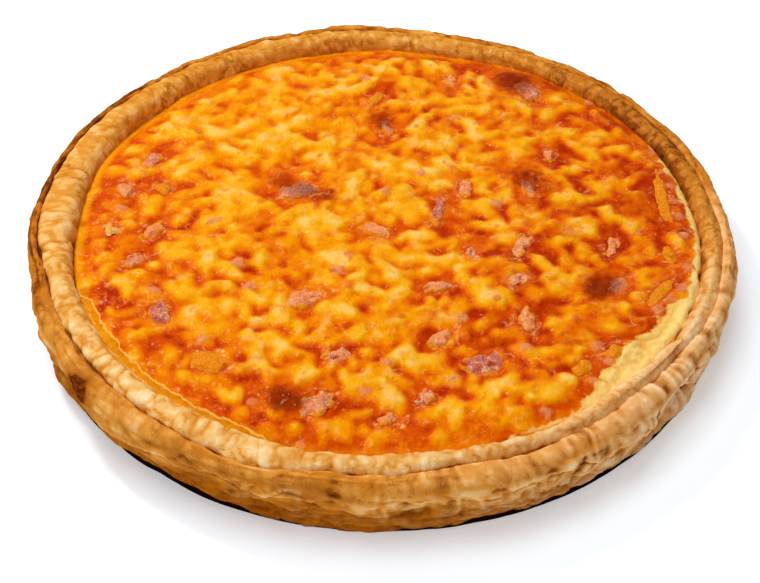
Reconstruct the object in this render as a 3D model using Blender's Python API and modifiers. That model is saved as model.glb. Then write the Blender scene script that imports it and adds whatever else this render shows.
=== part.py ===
"""An open savoury custard tart: a puff pastry case with a rolled rim, filled level with baked
custard that holds shreds of cheese, small pieces of ham and one flake of onion.

Metres, +Z up. The origin is the middle of the underside, and the side that faces -Y is the front.
"""

import math

import bmesh
import bpy
import numpy as np
from mathutils import Matrix, Vector

# Driving dimensions
TART_RADIUS = 0.135  # widest ring of the pastry, just under the rim
TART_HEIGHT = 0.028  # from the table to the top of the rolled rim
BASE_RADIUS = 0.130  # flat dark-baked underside that the tart stands on
FILLING_RADIUS = 0.1197  # where the custard meets the pastry
FLOOR_THICKNESS = 0.0045  # pastry under the custard
CUSTARD_HEIGHT = 0.0252  # usual level of the custard, away from its edge
GAP = 0.0003  # left between two solids that touch

# The pastry rim
RIM_TILT = 0.0006  # the rim stands this much higher on the left and lower on the right
RIM_WAVE = 0.0005
OUTER_WAVE = 0.0010
INNER_WAVE = 0.0008
INNER_SHIFT = 0.0016  # the filling lies this much nearer the right-hand rim
PUFF_HEIGHT = 0.0015  # blisters of the puffed side wall
FLANGE_WAVE = 0.0006  # unevenness of the ledge outside the seam
LOOSE_EDGE = 0.0022  # how far the bottom edge of the side wall lifts off the table
CRUST_STEPS = 112

# The custard
CUSTARD_TILT = 0.0011  # it has puffed up on the right and sunk on the left
CUSTARD_SWELL = 0.0005
CUSTARD_WAVELENGTH = 0.052
EDGE_WIDTH = 0.0085  # rounded shoulder where the custard meets the pastry
EDGE_DROP = 0.0022
CUSTARD_STEPS = 56

# Cheese shreds that lie in the custard, the longest ones fused on
SHRED_COUNT = 600  # shreds on the whole tart
FUSED_SHREDS = 115
SHRED_LONGEST = 0.0150
SHRED_SHORTEST = 0.0055
SHRED_WIDTH = 0.48  # share of the length
SHRED_SINK = 0.12  # share of the width that a shred's middle lies under the level
SHRED_SEED = 11
SHRED_TRIES = 24

# Ham: place in mm from the middle, length and width in mm, turn in degrees
HAM = (
    (-92, 36, 13, 6, 67),
    (-100, 16, 11, 7, 125),
    (-86, 18, 7, 6, 155),
    (-87, -7, 12, 7, 45),
    (-92, -25, 9, 7, 38),
    (-79, -54, 13, 8, 118),
    (-33, 17, 19, 11, 13),
    (-3, 79, 11, 5, 52),
    (2, 59, 11, 5, 108),
    (29, 94, 10, 7, 54),
    (33, 20, 11, 6, 92),
    (22, 6, 17, 6, 77),
    (-2, -6, 14, 7, 160),
    (62, 85, 17, 10, 123),
    (68, 41, 8, 5, 124),
    (58, 21, 15, 6, 100),
    (110, 15, 34, 5, 92),
    (88, -13, 15, 5, 69),
    (53, -16, 13, 6, 68),
    (109, -20, 11, 6, 107),
    (-59, -78, 14, 10, 161),
    (-21, -97, 15, 11, 31),
    (-14, -74, 11, 8, 23),
    (-28, -45, 15, 11, 40),
    (21, -38, 12, 6, 17),
    (35, -20, 10, 6, 108),
    (51, -34, 10, 7, 33),
    (22, -65, 12, 7, 39),
    (37, -77, 15, 11, 28),
    (53, -55, 13, 6, 103),
    (16, -94, 8, 6, 52),
    (4, -103, 10, 6, 39),
    (88, -36, 11, 7, 48),
    (102, -41, 22, 5, 55),
    (71, -79, 9, 6, 42),
    (83, -71, 9, 6, 48),
)
HAM_THICKNESS = 0.0030
HAM_PROUD = 0.0013  # the top of a piece stands this far out of the custard
HAM_SEED = 5
ONION = (-103, -7, 8, 5, 118)
ONION_THICKNESS = 0.0016
ONION_PROUD = 0.0008
POCKET_CLEARANCE = 0.00045
MM = 0.001

COLORS = {
    "crust": (0.60, 0.31, 0.08, 1),
    "custard": (0.93, 0.36, 0.01, 1),
    "ham": (0.62, 0.22, 0.20, 1),
    "onion": (0.86, 0.45, 0.12, 1),
}
ROUGHNESS = {"crust": 0.6, "custard": 0.3, "ham": 0.35, "onion": 0.3}


def clear_scene():
    for obj in list(bpy.data.objects):
        bpy.data.objects.remove(obj, do_unlink=True)


def new_collection(name):
    collection = bpy.data.collections.new(name)
    bpy.context.scene.collection.children.link(collection)
    return collection


def make_material(name):
    material = bpy.data.materials.new(name)
    material.use_nodes = True
    surface = material.node_tree.nodes["Principled BSDF"]
    surface.inputs["Base Color"].default_value = COLORS[name]
    surface.inputs["Roughness"].default_value = ROUGHNESS[name]
    surface.inputs["Metallic"].default_value = 0.0
    material.diffuse_color = COLORS[name]
    return material


def smooth_step(low, high, value):
    share = min(max((value - low) / (high - low), 0.0), 1.0)
    return share * share * (3 - 2 * share)


def ring_wave(angle, seed, orders):
    """A closed wave round the tart, about -1 to 1, of harmonics with seeded phases."""
    phases = np.random.default_rng(seed).uniform(0, math.tau, len(orders))
    return sum(math.cos(n * angle + p) for n, p in zip(orders, phases)) / math.sqrt(len(orders))


def plane_wave(x, y, seed, wavelength, count=5):
    """A gentle swell over the plane, about -1 to 1, of waves in seeded directions."""
    draw = np.random.default_rng(seed)
    total = 0.0
    for heading, phase, stretch in zip(
        draw.uniform(0, math.tau, count), draw.uniform(0, math.tau, count), draw.uniform(0.8, 1.3, count)
    ):
        along = x * math.cos(heading) + y * math.sin(heading)
        total += math.cos(math.tau * along / (wavelength * stretch) + phase)
    return total / math.sqrt(count)


def rim_lift(angle):
    return -RIM_TILT * math.cos(angle) + RIM_WAVE * ring_wave(angle, 3, (3, 5, 8, 13))


def inner_shift(angle):
    """How far the pastry's inner edge, and with it the custard's, lies outside its usual ring."""
    return INNER_SHIFT * math.cos(angle) + INNER_WAVE * ring_wave(angle, 4, (3, 4, 7, 11))


def custard_level(x, y):
    """Height of the bare custard over a point of the plane."""
    radius = math.hypot(x, y)
    edge = FILLING_RADIUS + inner_shift(math.atan2(y, x))
    level = CUSTARD_HEIGHT + CUSTARD_TILT * x / TART_RADIUS
    level += CUSTARD_SWELL * plane_wave(x, y, 6, CUSTARD_WAVELENGTH)
    return level - EDGE_DROP * smooth_step(edge - EDGE_WIDTH, edge, radius)


def crust_profile():
    """The case's section, from the middle of its floor over the rim and down the side."""
    inner = FILLING_RADIUS
    seam = TART_RADIUS - 0.0058
    return (
        (0.0, FLOOR_THICKNESS),
        (inner - 0.0022, FLOOR_THICKNESS),
        (inner, FLOOR_THICKNESS + 0.0035),
        (inner, TART_HEIGHT - 0.0062),
        (inner + 0.0009, TART_HEIGHT - 0.0024),
        (inner + 0.0027, TART_HEIGHT - 0.0005),
        (inner + 0.0053, TART_HEIGHT),
        (seam - 0.0016, TART_HEIGHT - 0.0009),
        (seam, TART_HEIGHT - 0.0030),
        (seam + 0.0014, TART_HEIGHT - 0.0022),
        (TART_RADIUS - 0.0022, TART_HEIGHT - 0.0023),
        (TART_RADIUS - 0.0004, TART_HEIGHT - 0.0041),
        (TART_RADIUS, TART_HEIGHT - 0.0070),
        (TART_RADIUS - 0.0010, TART_HEIGHT - 0.0125),
        (TART_RADIUS - 0.0022, TART_HEIGHT - 0.0185),
        (BASE_RADIUS + 0.0014, 0.0035),
        (BASE_RADIUS + 0.0002, 0.0018),
        (BASE_RADIUS, 0.0),
        (0.0, 0.0),
    )


def wall_puff(angle, height):
    """Blisters of the side wall: one row of them under the rim and another, out of step, lower down."""
    upper = math.exp(-(((height - 0.0165) / 0.0045) ** 2)) * ring_wave(angle, 8, (9, 14, 17, 23))
    lower = math.exp(-(((height - 0.0090) / 0.0040) ** 2)) * ring_wave(angle, 10, (8, 13, 19, 22))
    flange = math.exp(-(((height - 0.0240) / 0.0025) ** 2)) * ring_wave(angle, 12, (11, 16, 21))
    return PUFF_HEIGHT * (upper + lower) + FLANGE_WAVE * flange


def baked_crust_point(point):
    """Moves a point of the plain turned case to where the oven left it."""
    radius = math.hypot(point.x, point.y)
    if radius < BASE_RADIUS / 2:
        return point
    angle = math.atan2(point.y, point.x)
    outside = smooth_step(FILLING_RADIUS + 0.004, TART_RADIUS - 0.007, radius)
    grow = outside * smooth_step(0.0015, 0.010, point.z) * OUTER_WAVE * ring_wave(angle, 7, (2, 3, 5, 6))
    grow += outside * wall_puff(angle, point.z)
    grow += (1 - outside) * smooth_step(0.0, FLOOR_THICKNESS, point.z) * inner_shift(angle)
    lift = rim_lift(angle) * smooth_step(TART_HEIGHT - 0.010, TART_HEIGHT - 0.004, point.z)
    skirt = smooth_step(0.0, 0.0030, point.z) * math.exp(-(((point.z - 0.0030) / 0.0012) ** 2))
    lift += outside * skirt * LOOSE_EDGE / 2 * ring_wave(angle, 9, (5, 9, 16))
    scale = (radius + grow) / radius
    return Vector((point.x * scale, point.y * scale, point.z + lift))


def custard_profile():
    """The filling's section, from the middle of its top over its edge and down to its floor."""
    edge = FILLING_RADIUS - GAP
    rings = [edge * share for share in (0.0, 0.18, 0.36, 0.54, 0.70, 0.84)]
    rings += [edge - 0.0085, edge - 0.0055, edge - 0.0025, edge]
    floor = FLOOR_THICKNESS + GAP
    wall = ((edge, FLOOR_THICKNESS + 0.0040), (edge - 0.0025, floor), (0.0, floor))
    return tuple((radius, CUSTARD_HEIGHT) for radius in rings) + wall


def baked_custard_point(point):
    """Moves a point of the plain turned filling into the case, and its top to the custard's level."""
    radius = math.hypot(point.x, point.y)
    if radius < GAP:
        return Vector((0, 0, custard_level(0, 0) if point.z > TART_HEIGHT / 2 else point.z))
    angle = math.atan2(point.y, point.x)
    moved = radius + inner_shift(angle) * (radius / FILLING_RADIUS) ** 2
    x = moved * math.cos(angle)
    y = moved * math.sin(angle)
    return Vector((x, y, custard_level(x, y) if point.z > TART_HEIGHT / 2 else point.z))


def link_mesh(name, mesh, collection):
    obj = bpy.data.objects.new(name, mesh)
    collection.objects.link(obj)
    return obj


def apply_modifiers(obj):
    graph = bpy.context.evaluated_depsgraph_get()
    mesh = bpy.data.meshes.new_from_object(obj.evaluated_get(graph))
    obj.modifiers.clear()
    old = obj.data
    obj.data = mesh
    bpy.data.meshes.remove(old)
    mesh.name = obj.name


def turned(name, profile, steps, collection):
    """A closed body turned from (radius, height) pairs that run down its outer side."""
    mesh = bpy.data.meshes.new(name)
    edges = [(i, i + 1) for i in range(len(profile) - 1)]
    mesh.from_pydata([(radius, 0, height) for radius, height in profile], edges, [])
    obj = link_mesh(name, mesh, collection)
    screw = obj.modifiers.new("Turn", "SCREW")
    screw.steps = steps
    screw.render_steps = steps
    screw.use_merge_vertices = True
    screw.merge_threshold = 0.0001
    apply_modifiers(obj)
    return obj


def shape_points(obj, rule):
    for vertex in obj.data.vertices:
        vertex.co = rule(vertex.co)


def boolean(obj, operation, collection):
    modifier = obj.modifiers.new(operation.title(), "BOOLEAN")
    modifier.operation = operation
    modifier.operand_type = "COLLECTION"
    modifier.collection = collection
    modifier.solver = "EXACT"
    return modifier


def finish(obj, material, sharp_angle=35):
    obj.data.materials.clear()
    obj.data.materials.append(material)
    obj.data.shade_smooth()
    obj.data.set_sharp_from_angle(angle=math.radians(sharp_angle))


def slab_mesh(name, half, seed):
    """An uneven rounded slab of the given half sizes, nearly square-edged in plan."""
    work = bmesh.new()
    bmesh.ops.create_uvsphere(work, u_segments=10, v_segments=4, radius=1.0)
    phases = np.random.default_rng(seed).uniform(0, math.tau, 3)
    for vertex in work.verts:
        unit = vertex.co.copy()
        around = math.atan2(unit.y, unit.x)
        uneven = 1.0
        for order, phase in zip((2, 3, 5), phases):
            uneven += 0.16 / order * math.cos(order * around + phase)
        boxy = [math.copysign(abs(share) ** 0.72, share) for share in unit]
        lean = 0.12 * boxy[0] * math.sin(phases[0]) + 0.10 * boxy[1] * math.cos(phases[1])
        vertex.co = Vector((boxy[0] * uneven * half[0], boxy[1] * uneven * half[1], (boxy[2] + lean) * half[2]))
    mesh = bpy.data.meshes.new(name)
    work.to_mesh(mesh)
    work.free()
    return mesh


def lay_slab(name, row, thickness, proud, seed, collection, clearance=0.0):
    """A slab in the custard at a row's place, with its top just out of the custard."""
    x, y, length, width, turn = row
    half = Vector((length * MM / 2, width * MM / 2, thickness / 2)) + Vector((clearance,) * 3)
    obj = link_mesh(name, slab_mesh(name, half, seed), collection)
    obj.location = (x * MM, y * MM, custard_level(x * MM, y * MM) + proud - thickness / 2)
    obj.rotation_euler = (0, 0, math.radians(turn))
    return obj


def ham_clearance(x, y):
    """Distance from a point of the plane to the nearest piece of ham or onion."""
    nearest = TART_RADIUS
    for row in HAM + (ONION,):
        turn = math.radians(row[4])
        dx = x - row[0] * MM
        dy = y - row[1] * MM
        along = abs(dx * math.cos(turn) + dy * math.sin(turn)) - row[2] * MM / 2
        across = abs(-dx * math.sin(turn) + dy * math.cos(turn)) - row[3] * MM / 2
        nearest = min(nearest, math.hypot(max(along, 0), max(across, 0)))
    return nearest


def shred_rows(count):
    """(x, y, length, turn) of the first shreds, the longest first, each put where it is least crowded."""
    draw = np.random.default_rng(SHRED_SEED)
    rows = []
    for index in range(count):
        length = SHRED_LONGEST + (SHRED_SHORTEST - SHRED_LONGEST) * index / (SHRED_COUNT - 1)
        reach = FILLING_RADIUS - EDGE_WIDTH - length / 2
        radii = reach * np.sqrt(draw.uniform(0, 1, SHRED_TRIES))
        angles = draw.uniform(0, math.tau, SHRED_TRIES)
        turn = draw.uniform(0, math.pi)
        best = None
        for x, y in zip(radii * np.cos(angles), radii * np.sin(angles)):
            if ham_clearance(x, y) < length / 2 + GAP:
                continue
            room = min((math.hypot(x - row[0], y - row[1]) for row in rows), default=reach)
            if best is None or room > best[0]:
                best = (room, x, y)
        if best is not None:
            rows.append((best[1], best[2], length, turn))
    return rows


def add_shred(index, row, collection):
    """One plump, slightly bent shred of cheese with few sides, half sunk in the custard."""
    x, y, length, turn = row
    half_width = length * SHRED_WIDTH / 2
    work = bmesh.new()
    bmesh.ops.create_uvsphere(work, u_segments=6, v_segments=3, radius=1.0)
    bmesh.ops.rotate(work, verts=work.verts, matrix=Matrix.Rotation(math.pi / 2, 3, "Y"))
    bend = 0.25 * math.sin(index)
    for vertex in work.verts:
        along = vertex.co.x
        vertex.co.x = along * length / 2
        vertex.co.y = (vertex.co.y + bend * (along * along - 0.5)) * half_width
        vertex.co.z = vertex.co.z * half_width * 0.85
    mesh = bpy.data.meshes.new("shred")
    work.to_mesh(mesh)
    work.free()
    obj = link_mesh(f"shred_{index:03d}", mesh, collection)
    obj.location = (x, y, custard_level(x, y) - SHRED_SINK * half_width)
    obj.rotation_euler = (0, 0, turn)


def remove_collection(collection):
    for obj in list(collection.objects):
        bpy.data.objects.remove(obj, do_unlink=True)
    bpy.data.collections.remove(collection)


def build_crust(parts):
    crust = turned("crust", crust_profile(), CRUST_STEPS, parts)
    shape_points(crust, baked_crust_point)
    finish(crust, make_material("crust"))


def build_filling(parts, cutters):
    filling = turned("filling", custard_profile(), CUSTARD_STEPS, parts)
    shape_points(filling, baked_custard_point)
    shreds = new_collection("shreds")
    for index, row in enumerate(shred_rows(FUSED_SHREDS)):
        add_shred(index, row, shreds)
    boolean(filling, "UNION", shreds)
    apply_modifiers(filling)
    remove_collection(shreds)
    boolean(filling, "DIFFERENCE", cutters)
    finish(filling, make_material("custard"))


def build_ham(parts, cutters):
    material = make_material("ham")
    for index, row in enumerate(HAM, start=1):
        thickness = HAM_THICKNESS * (0.85 + 0.025 * row[3])
        piece = (row, thickness, HAM_PROUD, HAM_SEED + index)
        finish(lay_slab(f"ham_{index:02d}", *piece, parts), material, sharp_angle=60)
        lay_slab(f"ham_pocket_{index:02d}", *piece, cutters, clearance=POCKET_CLEARANCE)


def build_onion(parts, cutters):
    piece = (ONION, ONION_THICKNESS, ONION_PROUD, HAM_SEED)
    finish(lay_slab("onion_flake", *piece, parts), make_material("onion"), sharp_angle=60)
    lay_slab("onion_pocket", *piece, cutters, clearance=POCKET_CLEARANCE)


def hide_cutters(cutters):
    for obj in cutters.objects:
        obj.hide_render = True
        obj.display_type = "WIRE"


def main():
    clear_scene()
    parts = new_collection("savoury_custard_tart")
    cutters = new_collection("pocket_cutters")
    build_crust(parts)
    build_ham(parts, cutters)
    build_onion(parts, cutters)
    build_filling(parts, cutters)
    hide_cutters(cutters)


main()
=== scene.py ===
"""Looks of the savoury custard tart.

The pastry case, the custard with its melted cheese, the pieces of ham and the flake of onion are
meshes that stand for the solids of the same names and keep their form. Metres, +Z up. The side that
faces -Y is the front, and places round the tart are in degrees from +X, seen from above.
"""

import itertools
import math

import bpy
import numpy as np
from mathutils import Matrix, Vector

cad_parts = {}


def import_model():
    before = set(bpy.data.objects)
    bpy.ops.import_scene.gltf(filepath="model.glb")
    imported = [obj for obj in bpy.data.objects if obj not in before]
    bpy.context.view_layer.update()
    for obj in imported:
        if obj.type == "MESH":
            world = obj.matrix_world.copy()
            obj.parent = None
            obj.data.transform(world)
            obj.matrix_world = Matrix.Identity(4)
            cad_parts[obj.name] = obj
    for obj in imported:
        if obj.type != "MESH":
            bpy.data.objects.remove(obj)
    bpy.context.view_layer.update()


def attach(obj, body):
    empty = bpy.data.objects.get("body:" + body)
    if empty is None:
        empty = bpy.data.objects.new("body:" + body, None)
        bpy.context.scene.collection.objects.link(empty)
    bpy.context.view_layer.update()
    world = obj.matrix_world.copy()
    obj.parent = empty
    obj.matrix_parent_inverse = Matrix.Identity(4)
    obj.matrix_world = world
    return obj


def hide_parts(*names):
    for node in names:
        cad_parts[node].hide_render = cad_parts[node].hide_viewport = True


MM = 0.001

# Sizes of the solids that the meshes stand for
TART_RADIUS = 0.135
TART_HEIGHT = 0.028
FILLING_RADIUS = 0.1197
FLOOR_THICKNESS = 0.0045
CUSTARD_HEIGHT = 0.0252
GAP = 0.0003
RIM_TILT = 0.0006
RIM_WAVE = 0.0005
OUTER_WAVE = 0.0010
INNER_WAVE = 0.0008
INNER_SHIFT = 0.0016
PUFF_HEIGHT = 0.0015
FLANGE_WAVE = 0.0006
CUSTARD_TILT = 0.0011
CUSTARD_SWELL = 0.0005
CUSTARD_WAVELENGTH = 0.052
EDGE_WIDTH = 0.0085
EDGE_DROP = 0.0022
SHRED_COUNT = 600
SHRED_LONGEST = 0.0150
SHRED_SHORTEST = 0.0055
SHRED_SEED = 11
SHRED_TRIES = 24
FUSED_SHREDS = 115
LUMP_COUNT = 520
MELT = 0.50 * MM  # how softly the shreds run into one another
HAM_THICKNESS = 0.0030
HAM_PROUD = 0.0013
HAM_SEED = 5

# Ham: place, length and width in mm, turn in degrees, and how mauve it is, or below 0 how glazed
HAM = (
    (-92, 36, 13, 6, 67, 0.45), (-100, 16, 11, 7, 125, 0.15), (-86, 18, 7, 6, 155, -0.6),
    (-87, -7, 12, 7, 45, -0.2), (-92, -25, 9, 7, 38, 0.5), (-79, -54, 13, 8, 118, 0.9),
    (-33, 17, 19, 11, 13, 0.5), (-3, 79, 11, 5, 52, -0.7), (2, 59, 11, 5, 108, 0.3),
    (29, 94, 10, 7, 54, -0.15), (33, 20, 11, 6, 92, 0.1), (22, 6, 17, 6, 77, 0.7),
    (-2, -6, 14, 7, 160, -0.2), (62, 85, 17, 10, 123, 0.50), (68, 41, 8, 5, 124, 0.05),
    (58, 21, 15, 6, 100, 0.4), (110, 15, 34, 5, 92, -0.8), (88, -13, 15, 5, 69, 0.0),
    (53, -16, 13, 6, 68, 0.0), (109, -20, 11, 6, 107, -0.8), (-59, -78, 14, 10, 161, -0.8),
    (-21, -97, 15, 11, 31, 0.2), (-14, -74, 11, 8, 23, 0.15), (-28, -45, 15, 11, 40, 0.0),
    (21, -38, 12, 6, 17, 0.1), (35, -20, 10, 6, 108, 0.15), (51, -34, 10, 7, 33, 0.05),
    (22, -65, 12, 7, 39, 0.0), (37, -77, 15, 11, 28, 0.9), (53, -55, 13, 6, 103, 0.0),
    (16, -94, 8, 6, 52, 0.0), (4, -103, 10, 6, 39, 0.0), (88, -36, 11, 7, 48, 0.45),
    (102, -41, 22, 5, 55, -1.0), (71, -79, 9, 6, 42, -1.0), (83, -71, 9, 6, 48, -1.0),
)
# Scraps of ham too small to be pieces of their own: place and reach in mm
SCRAPS = (
    (-100.4, 4.9, 2.6), (-82.3, -42.2, 2.8), (-64, -3.3, 2.4), (-52.9, -27.2, 2.6),
    (-48, -38.2, 2.2), (-7.4, 93.1, 2.4), (29.3, 65.8, 2.2), (15.3, 27.8, 2.6), (1.4, 15.5, 2.2),
    (45.1, 10.4, 2.6), (87.9, 81.8, 2.4), (109.5, 45.4, 2.6), (-62.7, -67.3, 2.6),
    (-42.3, -96.7, 2.2), (-16, -30.3, 2.6), (-11.8, -21.7, 2.2), (28.9, -55.5, 2.4),
    (3.2, -78.2, 2.2), (26, -84.4, 2.6), (-4.5, -91.7, 2.2), (77, -69.1, 2.4), (56.9, -100.1, 2.2),
    (51.6, -70.2, 2.6), (113, 31, 2.2), (114, 22, 2.4), (114.8, 13, 2.2), (115.4, 3, 2.2),
    (115.6, -8, 2.4), (114.6, -27, 2.4), (110.6, -38, 2.6), (106, -44, 2.2), (100.6, -50, 2.4),
    (80.5, -76, 2.4), (74.6, -86, 2.2),
)
# The onion: place in mm, length and width in mm, and turn in degrees
ONION = (-103, -7, 8, 5, 118)
ONION_THICKNESS = 0.0016
ONION_PROUD = 0.0008

# The camera of the photo: how far off and how high it stands, and how it is turned
VIEW_RISE = 41.84
VIEW_ROLL = 0.92
VIEW_DISTANCE = 0.6075
VIEW_DROP = 0.86  # it aims this much below the middle of the tart's underside
VIEW_LENS = 72.56


# Shared tools


def ease(low, high, value):
    """0 below low and 1 above high, with a soft change between them."""
    share = np.clip((value - low) / (high - low), 0.0, 1.0)
    return share * share * (3 - 2 * share)


def hump(value, middle, width):
    """A smooth rise of height 1 about a middle."""
    return np.exp(-(((value - middle) / width) ** 2))


def turned(angle, place):
    """Degrees from a place round the tart, from -180 to 180."""
    return (np.degrees(angle) - place + 180) % 360 - 180


def about(angle, part):
    """A smooth rise of height 1 about a part of the tart's round, given as (place, half width)."""
    return hump(turned(angle, part[0]), 0, part[1])


def along_across(dx, dy, turn):
    """Distances along and across a piece that lies turned, from its middle."""
    return dx * math.cos(turn) + dy * math.sin(turn), -dx * math.sin(turn) + dy * math.cos(turn)


def ring_wave(angle, seed, orders):
    """A closed wave round the tart, about -1 to 1, of harmonics with seeded phases."""
    phases = np.random.default_rng(seed).uniform(0, math.tau, len(orders))
    return sum(np.cos(n * angle + p) for n, p in zip(orders, phases)) / math.sqrt(len(orders))


def plane_wave(x, y, seed, wavelength, count=5):
    """A gentle swell over the plane, about -1 to 1, of waves in seeded directions."""
    draw = np.random.default_rng(seed)
    headings = draw.uniform(0, math.tau, count)
    phases = draw.uniform(0, math.tau, count)
    stretches = draw.uniform(0.8, 1.3, count)
    total = 0.0
    for heading, phase, stretch in zip(headings, phases, stretches):
        along = x * math.cos(heading) + y * math.sin(heading)
        total = total + np.cos(math.tau * along / (wavelength * stretch) + phase)
    return total / math.sqrt(count)


def round_table(angle, rows):
    """A value that runs smoothly round the tart through rows of (degrees, value)."""
    rows = sorted(rows)
    places = np.array([row[0] for row in rows], float)
    values = np.array([row[1] for row in rows], float)
    places = np.concatenate((places - 360, places, places + 360))
    return np.interp(np.degrees(angle), places, np.tile(values, 3))


class Grain:
    """Seeded smooth noise in space, about -1 to 1."""

    def __init__(self, seed):
        draw = np.random.default_rng(seed)
        self.order = draw.permutation(256)
        slopes = draw.normal(size=(256, 3))
        self.slopes = slopes / np.linalg.norm(slopes, axis=1, keepdims=True)

    def at(self, points, size):
        place = points / np.array(size)
        cell = np.floor(place).astype(int)
        part = place - cell
        fade = part**3 * (part * (part * 6 - 15) + 10)
        total = np.zeros(points.shape[:-1])
        for corner in itertools.product((0, 1), repeat=3):
            spot = cell + corner
            key = self.order[spot[..., 0] & 255]
            key = self.order[(key + spot[..., 1]) & 255]
            key = self.order[(key + spot[..., 2]) & 255]
            weight = np.prod(np.where(corner, fade, 1 - fade), axis=-1)
            total += weight * np.sum(self.slopes[key] * (part - corner), axis=-1)
        return 1.7 * total

    def layers(self, points, size, count=3):
        """Noise with finer noise of half the height laid over it, count times in all."""
        total = np.zeros(points.shape[:-1])
        for step in range(count):
            total += self.at(points, np.array(size) / 2**step) / 2**step
        return total / 1.4


class Cells:
    """Seeded cells over a surface that closes round the tart, for plates, blisters and scales."""

    def __init__(self, seed, round_count):
        draw = np.random.default_rng(seed)
        self.order = draw.permutation(256)
        self.middles = draw.uniform(0.1, 0.9, (256, 2))
        self.tones = draw.uniform(-1, 1, 256)
        self.round_count = round_count

    def at(self, angle, up, warp):
        """How far inside its cell each place lies, from 0 on a border, and that cell's own tone."""
        across = angle / math.tau * self.round_count + warp
        cell_across = np.floor(across).astype(int)
        cell_up = np.floor(up).astype(int)
        nearest = np.full(across.shape, 9.0)
        second = np.full(across.shape, 9.0)
        tone = np.zeros(across.shape)
        for step in itertools.product((-1, 0, 1), repeat=2):
            column = cell_across + step[0]
            row = cell_up + step[1]
            key = self.order[(self.order[np.mod(column, self.round_count) & 255] + row) & 255]
            gap = np.hypot(column + self.middles[key, 0] - across, row + self.middles[key, 1] - up)
            tone = np.where(gap < nearest, self.tones[key], tone)
            second = np.minimum(second, np.maximum(nearest, gap))
            nearest = np.minimum(nearest, gap)
        return second - nearest, tone


def soften(field, passes, closed=False):
    """The field with neighbours averaged. Its columns are joined into a ring when it is closed."""
    for _ in range(passes):
        padded = np.pad(field, ((1, 1), (0, 0)), mode="edge")
        field = (padded[:-2] + 2 * padded[1:-1] + padded[2:]) / 4
        padded = np.pad(field, ((0, 0), (1, 1)), mode="wrap" if closed else "edge")
        field = (padded[:, :-2] + 2 * padded[:, 1:-1] + padded[:, 2:]) / 4
    return field


def smooth_line(points, count):
    """Evenly spaced points on a smooth curve through the given ones."""
    points = np.array(points, float)
    knots = np.concatenate(([0.0], np.cumsum(np.hypot(*np.diff(points, axis=0).T))))
    slopes = np.gradient(points, knots, axis=0)
    place = np.linspace(0, knots[-1], 2000)
    lower = np.clip(np.searchsorted(knots, place, side="right") - 1, 0, len(knots) - 2)
    span = (knots[lower + 1] - knots[lower])[:, None]
    share = (place - knots[lower])[:, None] / span
    curve = (2 * share**3 - 3 * share**2 + 1) * points[lower]
    curve += (share**3 - 2 * share**2 + share) * span * slopes[lower]
    curve += (3 * share**2 - 2 * share**3) * points[lower + 1]
    curve += (share**3 - share**2) * span * slopes[lower + 1]
    length = np.concatenate(([0.0], np.cumsum(np.hypot(*np.diff(curve, axis=0).T))))
    even = np.linspace(0, length[-1], count)
    return np.stack([np.interp(even, length, curve[:, axis]) for axis in (0, 1)], axis=1)


def shell_normals(points):
    """Outward directions over a grid whose columns close round the tart."""
    down = np.gradient(points, axis=0)
    along = np.roll(points, -1, axis=1) - np.roll(points, 1, axis=1)
    normals = np.cross(down, along)
    return normals / np.maximum(np.linalg.norm(normals, axis=-1, keepdims=True), 1e-12)


def build_mesh(name, vertices, faces, marks=None):
    """A smooth-shaded mesh object, with a number for each vertex under each mark's name."""
    mesh = bpy.data.meshes.new(name)
    mesh.from_pydata(vertices.tolist(), [], faces)
    mesh.shade_smooth()
    for mark, values in (marks or {}).items():
        attribute = mesh.attributes.new(mark, "FLOAT", "POINT")
        attribute.data.foreach_set("value", np.asarray(values, np.float32))
    piece = bpy.data.objects.new(name, mesh)
    bpy.context.scene.collection.objects.link(piece)
    return piece


def ring_faces(first, columns):
    """Faces between one closed ring of vertices that starts at first and the next ring."""
    here = first + np.arange(columns)
    beside = first + np.roll(np.arange(columns), -1)
    return np.stack((here, here + columns, beside + columns, beside), axis=1).tolist()


def closed_faces(rows, columns):
    """Faces over rings of vertices that follow one another, closed by one last vertex at each end."""
    faces = []
    for row in range(rows - 1):
        faces += ring_faces(row * columns, columns)
    here = np.arange(columns)
    beside = np.roll(here, -1)
    top = np.full(columns, rows * columns)
    last = (rows - 1) * columns
    faces += np.stack((top, here, beside), axis=1).tolist()
    faces += np.stack((top + 1, last + beside, last + here), axis=1).tolist()
    return faces


# The pastry case

CRUST_TURNS = 1270
# The case's section from the middle of its floor round to its underside: radius and height in mm
FLOOR_LINE = ((60, 4.5), (110, 4.5), (117.5, 4.6), (119.7, 8), (119.7, 14))
LIP_LINE = (
    (119.7, 18), (119.7, 21.8), (120.6, 25.6), (122.4, 27.5), (125.0, 28.0), (127.4, 27.3),
    (128.8, 26.0), (129.2, 24.3),
)
WALL_LINE = (
    (129.4, 24.4), (129.9, 25.4), (131.2, 25.9), (132.8, 25.7), (134.5, 24.2), (135.0, 21.0),
    (134.0, 15.5), (132.8, 9.5), (131.7, 4.5), (131.3, 1.6),
)
FOOT_LINE = ((131.0, 1.8), (131.4, 0.9), (131.6, 0.0), (128.5, 0.0), (70.0, 0.0))
LIP_ROWS = 22
WALL_ROWS = 42
FOOT_TOP = 1.8 * MM
SKIRT_FOOT = 1.6 * MM
SKIRT_TOP = 9.5 * MM
SEAM_RADIUS = 129.3 * MM
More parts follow.
